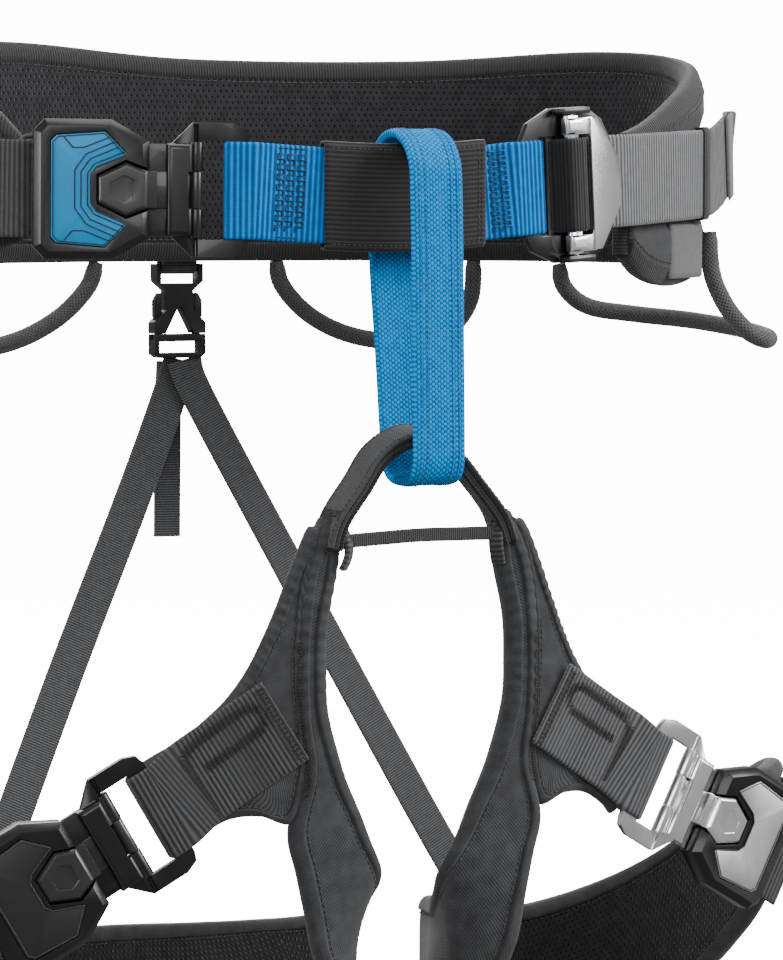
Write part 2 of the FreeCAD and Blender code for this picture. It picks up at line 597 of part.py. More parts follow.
def save_bridge():
    across = V(0, 0.97, 0.24).normalize()
    cover = 1.8
    core = BRIDGE_THICK - cover - GAP
    save("bridge_webbing", ribbon(bridge_path(), across, BRIDGE_WIDTH / 2, core, (core - BRIDGE_THICK) / 2))
    save("bridge_cover", ribbon(bridge_path(), across, BRIDGE_WIDTH / 2, cover, (BRIDGE_THICK - cover) / 2))
    elastic = smooth([V(-35.6, -147, -157.5), V(-18, -146.5, -156.8), V(0, -146.5, -156.2),
                      V(18, -146.5, -156.4), V(35.6, -147, -156.6)], 3)
    save("spreader_elastic", ribbon(elastic, UP, 3.2, 1.8))


# ---- leg loops ----
def patch_path(side):
    """Front webbing's run along the panel; it rises to the buckle at its end."""
    (s0, z0), (s1, z1) = PATCH_START, PATCH_END
    lifts = [PATCH_LIFT, PATCH_LIFT, PATCH_LIFT + 0.2, PATCH_LIFT + 1.2, PATCH_LIFT + 3.0]
    count = len(lifts)
    return [leg(s0 + (s1 - s0) * k / count, z0 + (z1 - z0) * k / count, lift, side)
            for k, lift in enumerate(lifts)]


def save_leg(name, side):
    matrix = LEG_BUCKLES[name]
    foam_out = -SHELL - GAP
    liner_out = foam_out - LEG_FOAM - GAP
    save(f"{name}_leg_shell", leg_layer(LEG_PAD, -SHELL, 0.0, side))
    save(f"{name}_leg_foam", leg_layer(LEG_PAD, foam_out - LEG_FOAM, foam_out, side))
    save(f"{name}_leg_liner", leg_layer(LEG_PAD, liner_out - SHELL, liner_out, side))
    save(f"{name}_leg_front_panel", leg_layer(FRONT_PANEL, -6.0, 0.0, side))
    click_buckle(f"{name}_leg", matrix)

    half = WEB_WIDTH / 2 - 0.8
    across = V(matrix.A12, matrix.A22, matrix.A32)
    path = patch_path(side) + local_path(led_bar(FRAME_BAR_BOX, -1), matrix)
    save(f"{name}_leg_front_webbing", ribbon(path, across, half, WEB_THICK))

    run = local_run([(-56, -0.9)] + led_bar(SOCKET_BAR_BOX, 1, 1.2), matrix)
    side_points = [leg(s, z, PATCH_LIFT + 0.4, side) for s, z in SIDE_WEB]
    for i, (s, _) in enumerate(SIDE_WEB):
        face = leg(s, 0, 1, side) - leg(s, 0, 0, side)
        wide = face.cross(turn(side_points, i)).normalize()
        run.append((side_points[i], wide if wide.dot(across) > 0 else wide * -1))
    save(f"{name}_leg_side_webbing", webbing(run, half))


# ---- gear loops ----
def save_gear_loops():
    for name, mirror in (("left", 1), ("right", -1)):
        for place, points in (("side", SIDE_LOOP), ("rear", REAR_LOOP)):
            path = smooth([ring(mirror * t, out, z) for t, out, z in points], 3)
            save(f"gear_loop_{name}_{place}", tube(path, GEAR_TUBE))


# ---- rear side-release buckle and risers ----
REAR_Y = 130.0              # middle of the rear buckle's thickness
REAR_HALF = 4.2


def upright(outline, y0, y1):
    """Plate standing across the back: its outline is (x, z) corners."""
    wire = Part.makePolygon([V(x, y0, z) for x, z in outline + outline[:1]])
    return Part.Face(wire).extrude(V(0, y1 - y0, 0))


def two_sided(half):
    """Outline from its +x half."""
    return half + [(-x, z) for x, z in reversed(half)]


def rear_buckle_body():
    """Socket half: webbing slot, narrow waist and two arms that hold the prongs."""
    y0, y1 = REAR_Y - REAR_HALF, REAR_Y + REAR_HALF
    body = upright(two_sided([(13.2, -35), (13.2, -44), (7.4, -49), (7.4, -59), (14.6, -65.5),
                              (14.6, -71.3), (8.2, -71.3), (1.0, -57.5)]), y0, y1)
    body = body.cut(upright(two_sided([(10.6, -38), (10.6, -45.2)]), y0 - 1, y1 + 1))
    for low, high in ((y0 - 1, REAR_Y - 1.5), (REAR_Y + 1.5, y1 + 1)):
        body = body.cut(block(-10.6, 10.6, low, high, -38.1, -34))
    for side in (-1, 1):
        pocket = [(side * x, z) for x, z in ((8.0, -60), (8.0, -72), (13.0, -72), (13.0, -60))]
        body = body.cut(upright(pocket, REAR_Y - 2.1, REAR_Y + 2.1))
    return body


def rear_buckle_yoke():
    """Plug half's yoke: the bar for the risers and the roots of the prongs."""
    y0, y1 = REAR_Y - REAR_HALF, REAR_Y + REAR_HALF
    body = upright(two_sided([(14.6, -71.6), (14.6, -82), (12, -84)]), y0, y1)
    body = body.cut(upright(two_sided([(11.6, -75.4), (11.6, -81.4)]), y0 - 1, y1 + 1))
    return body.cut(block(-20, 20, REAR_Y - 2.2, REAR_Y + 2.2, -74.4, -70))


def rear_buckle_prong(side):
    """Springy prong: root in the yoke, finger through the arm, lobe outside the waist."""
    outline = [(9.0, -73.8), (12.2, -73.8), (12.2, -64.5), (13.6, -62.5), (13.6, -54), (11.4, -50.2),
               (9.4, -50.2), (9.4, -60.5), (9.0, -63)]
    return upright([(side * x, z) for x, z in outline], REAR_Y - 1.8, REAR_Y + 1.8)


def riser_path(side):
    """Elastic strap from the yoke's bar down to the back of a leg pad."""
    lane = 1.6 if side < 0 else -1.6
    run = [(0.5, REAR_Y + lane, -85), (4, REAR_Y + lane, -96), (16, 125 + lane, -122), (38, 117, -165),
           (76, 104, -240), (115, 88, -318), (140, 76.5, -368), (149, 74.5, -392)]
    return smooth([V(side * x + RISER_DRIFT, y, z) for x, y, z in run], 4)


def save_risers():
    for name, side in SIDES.items():
        path = riser_path(side)
        flat = turn(path, 16).cross(leg(450, 0, 1, side) - leg(450, 0, 0, side)).normalize()
        level = V(1, 0, 0) if flat.x > 0 else V(-1, 0, 0)
        across = []
        for i in range(len(path)):
            u = min(i / 8.0, 1.0)
            across.append((level * (1 - u) + flat * u).normalize())
        save(f"riser_strap_{name}", ribbon(path, across, RISER_WIDTH / 2, RISER_THICK))
    tail = smooth([V(-2, REAR_Y + 5.2, -86), V(-3, REAR_Y + 5.4, -110), V(-3.5, REAR_Y + 5.4, -145),
                   V(-4, REAR_Y + 5, -178)], 3)
    save("riser_tail", ribbon(tail, V(1, 0, 0), 7.5, 3.4))


def save_rear():
    reach, bar_z = 3.3, -36.5
    loop = [(REAR_Y - 4.4, -14), (REAR_Y - 4.2, -22), (REAR_Y - reach, -32)]
    loop += arc((REAR_Y, bar_z), reach, 180, 360, 6)
    loop += [(REAR_Y + reach, -32), (REAR_Y + 1.4, -27), (REAR_Y - 1.6, -21), (REAR_Y - 2.3, -14)]
    save("riser_tab", ribbon([V(0, y, z) for y, z in loop], V(1, 0, 0), 10.0, 1.6))
    save("rear_buckle_body", rear_buckle_body())
    save("rear_buckle_yoke", rear_buckle_yoke())
    for name, side in SIDES.items():
        save(f"rear_buckle_{name}_prong", rear_buckle_prong(side))


click_buckle("waist", WAIST_BUCKLE)
save("adjuster_base", placed(adjuster_base(), ADJUSTER))
save("adjuster_slider", placed(adjuster_slider(), ADJUSTER))
save_webbing()
save_belt()
save("belay_loop", belay_loop())
save_bridge()
for leg_name, leg_side in SIDES.items():
    save_leg(leg_name, leg_side)
save_gear_loops()
save_rear()
save_risers()
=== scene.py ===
import bmesh
import bpy
import math
import numpy as np
from mathutils import Matrix, Vector


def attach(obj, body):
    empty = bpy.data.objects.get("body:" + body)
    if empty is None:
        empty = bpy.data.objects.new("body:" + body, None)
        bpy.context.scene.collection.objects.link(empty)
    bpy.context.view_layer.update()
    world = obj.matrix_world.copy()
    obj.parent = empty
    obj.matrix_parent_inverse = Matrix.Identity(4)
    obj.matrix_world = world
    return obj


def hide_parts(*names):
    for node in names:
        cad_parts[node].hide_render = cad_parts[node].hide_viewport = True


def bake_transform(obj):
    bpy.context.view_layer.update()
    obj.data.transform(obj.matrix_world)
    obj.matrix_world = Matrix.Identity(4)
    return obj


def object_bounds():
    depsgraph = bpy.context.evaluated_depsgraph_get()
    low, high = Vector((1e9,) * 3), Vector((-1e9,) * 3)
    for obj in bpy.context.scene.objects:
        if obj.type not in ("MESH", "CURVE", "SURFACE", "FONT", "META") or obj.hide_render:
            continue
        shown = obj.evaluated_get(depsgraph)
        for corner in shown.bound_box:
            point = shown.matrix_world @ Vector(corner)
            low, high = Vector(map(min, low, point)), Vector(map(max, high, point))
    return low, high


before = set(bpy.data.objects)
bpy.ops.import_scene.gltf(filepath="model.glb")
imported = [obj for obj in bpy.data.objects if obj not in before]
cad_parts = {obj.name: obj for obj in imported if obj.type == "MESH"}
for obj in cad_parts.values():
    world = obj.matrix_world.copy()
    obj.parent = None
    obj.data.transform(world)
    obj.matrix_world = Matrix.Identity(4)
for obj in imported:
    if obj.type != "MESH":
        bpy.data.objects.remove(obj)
cad_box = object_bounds()

# Lengths in this script are millimetres until a mesh is made; MM takes them to metres.
MM = 0.001
UP, X_AXIS = np.array([0.0, 0.0, 1.0]), np.array([1.0, 0.0, 0.0])
TWO_PI = 2 * math.pi
ROOT, LEGS = "harness", "leg_loops"

# ---- the same driving dimensions as the CAD model ----
RING_W, RING_D, HIP = 222.0, 127.0, 10.0
WEB_HALF, WEB_THICK, WRAP = 22.0, 2.0, 1.3
BELT_START, BELT_END = 40.0, 310.0
BELT_RISE = [(-180, 19), (-90, 12), (-60, 3.5), (-24, 2), (0, -1.5), (22, 4.2), (37, 7.3),
             (63, 11), (90, 14), (180, 19), (270, 12), (300, 3.5), (336, 2)]
BELT_TOP = [(38, 27), (46, 34), (60, 50), (79, 65), (112, 74), (147, 69.5), (180, 69.5),
            (208, 75.5), (248, 70), (281, 60), (300, 48), (306, 38), (310, 26)]
BELT_BOTTOM = [(38, -25), (44, -38), (52, -43), (62, -42), (80, -36), (112, -33), (180, -32),
               (248, -33), (285, -34), (300, -30), (310, -20)]
LEG_PLAN = [(24, -140), (58, -146), (98, -138), (136, -128), (172, -125), (207, -113), (236, -86),
            (251, -45), (249, 2), (230, 40), (198, 64), (158, 72), (118, 58), (88, 22),
            (66, -28), (48, -78), (28, -120)]
INSEAM, INSEAM_DROP, WRAP_SHARE = 9.0, 70.0, 0.38
LEG_PAD = [((16, -151), (26, -149)), ((19, -172), (35, -170)), ((24, -195), (38.5, -192)),
           ((25, -215), (40, -216)), ((24, -236), (39, -240)), ((17, -260), (36, -266)),
           ((8, -282), (43, -291)), ((2, -300), (41, -309)), ((-7, -316), (38, -330)),
           ((-23, -329), (33, -352)), ((-46, -338), (20, -375)), ((-78, -344), (-12, -397)),
           ((-115, -350), (-60, -416)), ((-150, -355), (-110, -431)), ((-190, -361), (-165, -444)),
           ((-230, -369), (-220, -455)), ((-268, -378), (-268, -463)),
           ((-300, -374), (-305, -457)), ((-335, -361), (-345, -440)),
           ((-370, -341), (-385, -412)), ((-400, -317), (-425, -379)),
           ((-430, -297), (-460, -351)), ((-470, -285), (-495, -335)),
           ((-505, -285), (-513, -331)), ((-517, -290), (-519, -326))]
FRONT_PANEL = [((33, -153), (31.4, -156)), ((42, -172), (38.4, -176)), ((49, -189), (41.4, -196)),
               ((56, -204), (42.6, -219)), ((63, -217), (41.6, -243)), ((72, -229), (40, -264)),
               ((80, -236.5), (46, -285)), ((88, -243), (58, -281.5)), ((97, -249), (72, -282.5)),
               ((105, -253.5), (84, -289)), ((111, -257), (89.5, -294.5))]
PATCH_START, PATCH_END, PATCH_LIFT = (46, -238), (98, -271), 1.9
BUCKLE_ON_LEG, BUCKLE_FALL, BUCKLE_OUT, SOCKET_OUT = (148.5, -303), 30.5, 4.6, 9.0
SIDE_WEB = [(203, -320), (226, -313), (250, -317), (275, -331), (300, -350)]
SOCKET_BAR, FRAME_BAR, ADJUSTER_OUT = -44.4, 52.2, 2.4
FRAME_BAR_BOX, SOCKET_BAR_BOX = (48.4, 57.4, -0.4, 3.2), (-46.2, -42.7, -4.8, -1.9)
ANCHOR_BAR_BOX = (-31.0, -18.0, -1.5, 1.5)
BRIDGE_Y, BRIDGE_Z, BRIDGE_HALF = -137.0, -111.0, 9.0
LOOP_X, LOOP_HALF = 6.0, 13.25
REAR_Y, RISER_HALF = 130.0, 9.5
SIDE_LOOP = [(121, -7, -35.5), (120, -5, -48), (116, 2, -58), (108, 12, -62), (98, 21, -65),
             (88, 29, -69), (79, 33, -72), (74.5, 30.5, -73), (71.6, 22, -68.5), (70.9, 12, -57),
             (70.9, 5, -43), (71, 2.7, -31), (71, 2.3, -18)]
REAR_LOOP = [(166.5, -7, -33.5), (165.5, -5, -46), (162, -2, -60), (157, 1, -70.5), (151, 2, -76),
             (145, 2, -75.5), (139.5, -1, -68.5), (136.5, -4, -54), (136, -7, -33.5)]
INLAY = [(-32.5, 22), (-30, 24.5), (-8, 26.2), (2, 16), (-12, 10.2), (-14.6, 6.6),
         (-14.6, -6.6), (-12, -10.2), (2, -16), (-8, -26.2), (-30, -24.5), (-32.5, -22)]
SOCKET_TOP = 9.8


# ---- camera at the photograph's angle ----
def aim(obj, target):
    direction = Vector(target) - obj.location
    obj.rotation_euler = direction.to_track_quat("-Z", "Y").to_euler()


CAMERA_AZIMUTH, CAMERA_RISE, CAMERA_DISTANCE = math.radians(27), math.radians(4), 1.9
CAMERA_TARGET = Vector((0.0472, -0.0241, -0.140))
camera = bpy.data.objects.new("camera", bpy.data.cameras.new("camera"))
bpy.context.scene.collection.objects.link(camera)
camera.data.lens, camera.data.sensor_width = 144.4, 36.0
camera.data.clip_start, camera.data.clip_end = 0.05, 30.0
camera.location = CAMERA_TARGET + CAMERA_DISTANCE * Vector((
    -math.sin(CAMERA_AZIMUTH) * math.cos(CAMERA_RISE), -math.cos(CAMERA_AZIMUTH) * math.cos(CAMERA_RISE),
    math.sin(CAMERA_RISE)))
aim(camera, CAMERA_TARGET)
bpy.context.scene.camera = camera


# ---- curves and forms, as arrays ----
def unit(a):
    return a / np.maximum(np.linalg.norm(a, axis=-1, keepdims=True), 1e-9)


def profile(points, x):
    """Smooth curve through (x, value) points, as the CAD model reads it."""
    px, py = np.array(points, float).T
    slope = np.array([(py[min(k + 1, len(px) - 1)] - py[max(k - 1, 0)])
                      / (px[min(k + 1, len(px) - 1)] - px[max(k - 1, 0)]) for k in range(len(px))])
    x = np.asarray(x, float)
    i = np.clip(np.searchsorted(px, x, side="right") - 1, 0, len(px) - 2)
    w = px[i + 1] - px[i]
    u = np.clip((x - px[i]) / w, 0, 1)
    return (py[i] * (2 * u ** 3 - 3 * u ** 2 + 1) + slope[i] * w * (u ** 3 - 2 * u ** 2 + u)
            + py[i + 1] * (3 * u ** 2 - 2 * u ** 3) + slope[i + 1] * w * (u ** 3 - u ** 2))


def catmull(points, steps, closed=False):
    p = np.array(points, float)
    if closed:
        p = np.concatenate([p[-1:], p, p[:2]])
    else:
        p = np.concatenate([p[:1] * 2 - p[1:2], p, p[-1:] * 2 - p[-2:-1]])
    u = (np.arange(steps) / steps)[:, None]
    made = []
    for i in range(len(p) - 3):
        a, b, c, d = p[i:i + 4]
        made.append((b * 2 + (c - a) * u + (a * 2 - b * 5 + c * 4 - d) * u ** 2
                     + (b * 3 - a - c * 3 + d) * u ** 3) * 0.5)
    made = np.concatenate(made)
    return made if closed else np.concatenate([made, p[-2:-1]])


def spaced(points, step, closed=False):
    """The points of a polyline at equal distances along it, and those distances."""
    p = np.array(points, float)
    if closed:
        p = np.concatenate([p, p[:1]])
    at = np.concatenate([[0], np.cumsum(np.linalg.norm(np.diff(p, axis=0), axis=1))])
    count = max(int(round(at[-1] / step)), 2)
    s = np.linspace(0, at[-1], count + 1)
    made = np.stack([np.interp(s, at, p[:, k]) for k in range(p.shape[1])], -1)
    return (made[:-1], s[:-1], at[-1]) if closed else (made, s, at[-1])


def ring(t, out=0.0, z=0.0):
    t, out, z = np.broadcast_arrays(np.asarray(t, float), out, z)
    c, s = np.cos(np.radians(t)), np.sin(np.radians(t))
    along = unit(np.stack([(RING_W + 7 * HIP * s ** 6) * c, RING_D * s], -1))
    x, y = RING_W * s + HIP * s ** 7, -RING_D * c
    return np.stack([x + along[..., 1] * out, y - along[..., 0] * out, z], -1)


def ring_out(t):
    """The way out of the ring at t degrees."""
    return ring(t, 1) - ring(t, 0)


def form_out(form, s):
    """The way out of a leg's form at distance s round it."""
    return form(s, 0, 1) - form(s, 0, 0)


def facing(normal, way):
    return 1.0 if normal @ way > 0 else -1.0


RING_T = np.linspace(-400, 400, 8001)
_step = np.linalg.norm(np.diff(ring(RING_T), axis=0), axis=1)
RING_S = np.concatenate([[0], np.cumsum(_step)])
RING_S -= np.interp(0, RING_T, RING_S)


def ring_s(t):
    return np.interp(t, RING_T, RING_S)


def rise(t):
    return profile(BELT_RISE, t)


_plan = catmull(LEG_PLAN, 12, closed=True)
_plan = np.concatenate([_plan, _plan[:1]])
PLAN_S = np.concatenate([[0], np.cumsum(np.linalg.norm(np.diff(_plan, axis=0), axis=1))])
PLAN_LENGTH = PLAN_S[-1]
_turn = unit(np.roll(_plan[:-1], -1, axis=0) - np.roll(_plan[:-1], 1, axis=0))
_turn = np.concatenate([_turn, _turn[:1]])


def leg_form(side):
    def form(s, z, out):
        s, z, out = np.broadcast_arrays(np.asarray(s, float), np.asarray(z, float), out)
        inside = (s + PLAN_LENGTH / 2) % PLAN_LENGTH - PLAN_LENGTH / 2
        near = np.maximum(1 - ((inside + 20) / 120) ** 2, 0)
        down = np.clip((-265 - z) / INSEAM_DROP, 0, 1)
        inwards = INSEAM * near ** 2 * down ** 2 * (3 - 2 * down)
        m = s % PLAN_LENGTH
        x, y = (np.interp(m, PLAN_S, _plan[:, k]) for k in (0, 1))
        tx, ty = (np.interp(m, PLAN_S, _turn[:, k]) for k in (0, 1))
        size = np.hypot(tx, ty)
        return np.stack([(x + ty / size * out - inwards) * side, y - tx / size * out, z], -1)
    return form


def arc(centre, radius, start, end, steps):
    a = np.radians(np.linspace(start, end, steps + 1))
    return [(centre[0] + radius * math.cos(k), centre[1] + radius * math.sin(k)) for k in a]


def led_bar(bar, side, lead=1.6, reach=WRAP):
    """Half turn of webbing round a bar's box, with straight leads past its far edge."""
    x0, x1, z0, z1 = bar
    edge = x1 if side > 0 else x0
    far = x0 - lead if side > 0 else x1 + lead
    middle = 90 - 90 * side
    turned = arc((edge, z1), reach, 90, middle, 4)
    turned += arc((edge, z0), reach, middle, 90 - 180 * side, 4)
    return [(far, z1 + reach)] + turned + [(far, z0 - reach)]


def frame_matrix(origin, x_axis, z_hint):
    x = unit(np.array(x_axis))
    z = unit(z_hint - x * np.dot(z_hint, x))
    m = np.eye(4)
    m[:3, 0], m[:3, 1], m[:3, 2], m[:3, 3] = x, np.cross(z, x), z, origin
    return m


def placed(points, m):
    p = np.asarray(points, float)
    return p @ m[:3, :3].T + m[:3, 3]


def waist_buckle_frame():
    socket, bar = ring(-48.9, 6.6, rise(-48.9)), ring(-20.4, 3.0, rise(-20.4))
    along = unit(bar - socket)
    return frame_matrix(socket - along * SOCKET_BAR, along, ring_out(-34.5))


def leg_buckle_frame(side):
    form = leg_form(side)
    s, z = BUCKLE_ON_LEG
    run, fall = math.cos(math.radians(BUCKLE_FALL)), math.sin(math.radians(BUCKLE_FALL))
    socket = form(s - SOCKET_BAR * run, z + SOCKET_BAR * fall, SOCKET_OUT)
    bar = form(s - FRAME_BAR * run, z + FRAME_BAR * fall, BUCKLE_OUT)
    along = unit(bar - socket)
    return frame_matrix(socket - along * SOCKET_BAR, along, form_out(form, s))


def adjuster_frame():
    along = ring(29, ADJUSTER_OUT, rise(29)) - ring(20, ADJUSTER_OUT, rise(20))
    return frame_matrix(ring(24.4, ADJUSTER_OUT, rise(24.4)), along, ring_out(24.4))


WAIST = waist_buckle_frame()
LEG_FRAMES = {"right": leg_buckle_frame(-1), "left": leg_buckle_frame(1)}
ADJUSTER = adjuster_frame()
SIDES = {"right": -1, "left": 1}


# ---- meshes ----
def noise(u, v, size, seed):
    """Smooth, repeatable unevenness of about plus or minus one."""
    waves = np.random.default_rng(seed)
    made = 0.0
    for _ in range(7):
        angle, phase = waves.uniform(0, TWO_PI, 2)
        k = TWO_PI / (size * waves.uniform(0.7, 1.6))
        made = made + np.sin(k * (u * math.cos(angle) + v * math.sin(angle)) + phase)
    return made / 4.0


def finish_piece(obj, material, body, slot, hides=()):
    obj.data.materials.append(material)
    if body:
        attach(obj, body)
    if hides:
        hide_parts(*hides)
    return obj


def mesh_piece(name, points, faces, uv, material, body, slot, hides=(), smooth=True):
    """Closed mesh from points in millimetres and (u, v) in millimetres for each point."""
    mesh = bpy.data.meshes.new(name)
    mesh.from_pydata((np.asarray(points).reshape(-1, 3) * MM).tolist(), [], faces)
    bm = bmesh.new()
    bm.from_mesh(mesh)
    bmesh.ops.recalc_face_normals(bm, faces=bm.faces)
    bm.to_mesh(mesh)
    bm.free()
    layer = mesh.uv_layers.new(name="UVMap")
    corners = np.empty(len(mesh.loops), int)
    mesh.loops.foreach_get("vertex_index", corners)
    layer.data.foreach_set("uv", np.asarray(uv, float).reshape(-1, 2)[corners].ravel())
    mesh.polygons.foreach_set("use_smooth", [smooth] * len(mesh.polygons))
    obj = bpy.data.objects.new(name, mesh)
    bpy.context.scene.collection.objects.link(obj)
    return finish_piece(obj, material, body, slot, hides)


def tube_faces(rows, around, closed=False, first=0):
    """Quads round a tube of rows of points, with its two end caps unless its rows close on themselves."""
    r, j = np.arange(rows if closed else rows - 1)[:, None] * around, np.arange(around)
    below = (r + around) % (rows * around)
    faces = np.stack([r + j, r + (j + 1) % around, below + (j + 1) % around, below + j], -1)
    faces = (faces.reshape(-1, 4) + first).tolist()
    if not closed:
        last = first + (rows - 1) * around
        faces += [list(range(first, first + around)), list(range(last, last + around))]
    return faces


def skin(name, outer, inner, uv, *look, closed=False):
    """Closed solid between two grids of points, which meet along their edges."""
    n, m = outer.shape[:2]
    k = 2 * m
    points = np.concatenate([outer, inner[:, ::-1]], axis=1)
    uv = np.concatenate([uv, uv[:, ::-1]], axis=1)
    faces = tube_faces(n, k, closed)
    if not closed:
        faces = faces[:-2]
        for end in (0, (n - 1) * k):
            faces += [[end + i, end + i + 1, end + k - 2 - i, end + k - 1 - i] for i in range(m - 1)]
    return mesh_piece(name, points, faces, uv, *look)


def sweep(name, path, sides, radius, *look):
    """Tube along a path: radius is an array along it and around it."""
    along = np.roll(path, -1, 0) - np.roll(path, 1, 0)
    along[0], along[-1] = path[1] - path[0], path[-1] - path[-2]
    along = unit(along)
    side = np.zeros_like(path)
    side[0] = unit(np.cross(along[0], UP if abs(along[0][2]) < 0.9 else X_AXIS))
    for i in range(1, len(path)):
        side[i] = unit(side[i - 1] - along[i] * (side[i - 1] @ along[i]))
    other = np.cross(along, side)
    angle = np.linspace(0, TWO_PI, sides, endpoint=False)[None, :, None]
    round_it = side[:, None] * np.cos(angle) + other[:, None] * np.sin(angle)
    points = path[:, None] + radius[..., None] * round_it
    s = np.concatenate([[0], np.cumsum(np.linalg.norm(np.diff(path, axis=0), axis=1))])
    uv = np.stack(np.broadcast_arrays(s[:, None], angle[..., 0] * np.max(radius)), -1)
    return mesh_piece(name, points, tube_faces(len(path), sides), uv, *look)


def thread(name, lines, material, body, slot, radius=0.26):
    """Sewing thread: each line is (points, normals), all joined in one piece."""
    points, faces, uv = [], [], []
    angle = np.linspace(0, TWO_PI, 5, endpoint=False)[None, :, None]
    for line, normal in lines:
        line = np.asarray(line, float)
        normal = unit(np.broadcast_to(normal, line.shape))
        along = np.gradient(line, axis=0)
        side = unit(np.cross(along, normal))
        high = unit(np.cross(side, along))
        faces += tube_faces(len(line), 5, first=len(points) * 5)
        round_it = side[:, None] * np.cos(angle) + high[:, None] * np.sin(angle)
        points += list(line[:, None] + radius * round_it)
        uv += [np.stack([np.full(5, float(i)), np.arange(5.0)], -1) for i in range(len(line))]
    return mesh_piece(name, np.array(points), faces, np.array(uv), material, body, slot)


def dashes(line, normal, pitch=2.6, share=0.72, sink=0.22):
    """Running stitch along a line: short threads, each dipping into the cloth at its ends."""
    line, normal = np.asarray(line, float), np.broadcast_to(normal, np.shape(line))
    fine, s, length = spaced(np.concatenate([line, normal], 1), 0.5)
    made = []
    for k in range(int(length // pitch)):
        at = (k + np.array([0.06, 0.2, 0.5, 0.8, 0.94]) * share + 0.1) * pitch
        row = np.stack([np.interp(at, s, fine[:, c]) for c in range(6)], -1)
        lift = np.array([-sink, 0.08, 0.16, 0.08, -sink])[:, None]
        made.append((row[:, :3] + unit(row[:, 3:]) * lift, row[:, 3:]))
    return made


def zigzag(place, length, half, pitch=1.15):
    """Bar tack: place(u, v) gives points and normals, u along the tack and v across it."""
    count = max(int(length / pitch), 2)
    u = np.repeat(np.linspace(0, length, count + 1), 2)[1:]
    v = half * np.where(np.arange(len(u)) // 2 % 2, 1.0, -1.0)
    return place(u, v)


class Strap:
    """Webbing along a path of (point, width direction) pairs."""

    def __init__(self, path, half, thick, step=0.8, soften=1.3, closed=False):
        rows = np.array([[*p, *w] for p, w in path], float)
        rows, self.s, self.length = spaced(rows, step, closed)
        reach = int(4 * soften / step)
        kernel = np.exp(-0.5 * (np.arange(-reach, reach + 1) * step / soften) ** 2)
        kernel /= kernel.sum()
        if closed:
            padded = np.concatenate([rows[-reach:], rows, rows[:reach]])
        else:
            before, after = 2 * rows[:1] - rows[reach:0:-1], 2 * rows[-1:] - rows[-2:-reach - 2:-1]
            padded = np.concatenate([before, rows, after])
        rows = np.stack([np.convolve(padded[:, c], kernel, "valid") for c in range(6)], -1)
        self.p, wide = rows[:, :3], rows[:, 3:]
        along = np.roll(self.p, -1, 0) - np.roll(self.p, 1, 0)
        if not closed:
            along[0], along[-1] = self.p[1] - self.p[0], self.p[-1] - self.p[-2]
        along = unit(along)
        self.w = unit(wide - along * np.sum(wide * along, -1, keepdims=True))
        self.n = np.cross(along, self.w)
        self.half, self.thick, self.closed = half, thick, closed

    def at(self, u, v, h):
        """Points and normals at distance u along, v across and h above the middle."""
        u, v, h = np.broadcast_arrays(np.asarray(u, float), v, h)
        middle, wide, normal = (np.stack([np.interp(u, self.s, a[:, c]) for c in range(3)], -1)
                                for a in (self.p, self.w, self.n))
        return middle + wide * v[..., None] + normal * h[..., None], normal

    def build(self, name, *look, rib=(0.0, 0.0), count=22, edge=1.3, half=None, lift=0.0):
        """Rounded, ribbed solid: rib is its pitch and depth, lift its height over the path."""
        x = np.sin(np.linspace(-1, 1, count) * math.pi / 2)
        x = x * 0.55 + np.linspace(-1, 1, count) * 0.45
        half = self.half if half is None else half
        v = np.broadcast_to(x * half, (len(self.s), count))
        from_edge = np.clip(1 - (half - np.abs(v)) / edge, 0, 1)
        h = self.thick / 2 * np.sqrt(1.03 - from_edge ** 2)
        pitch, depth = rib
        if pitch:
            wave = 0.5 - 0.5 * np.cos(TWO_PI * self.s / pitch)
            h = h - depth * wave[:, None] * (1 - from_edge)
        mid = self.p[:, None] + self.w[:, None] * v[..., None]
        outer = mid + self.n[:, None] * (h + lift)[..., None]
        inner = mid + self.n[:, None] * (lift - h)[..., None]
        uv = np.stack(np.broadcast_arrays(self.s[:, None], v), -1)
        return skin(name, outer, inner, uv, *look, closed=self.closed)


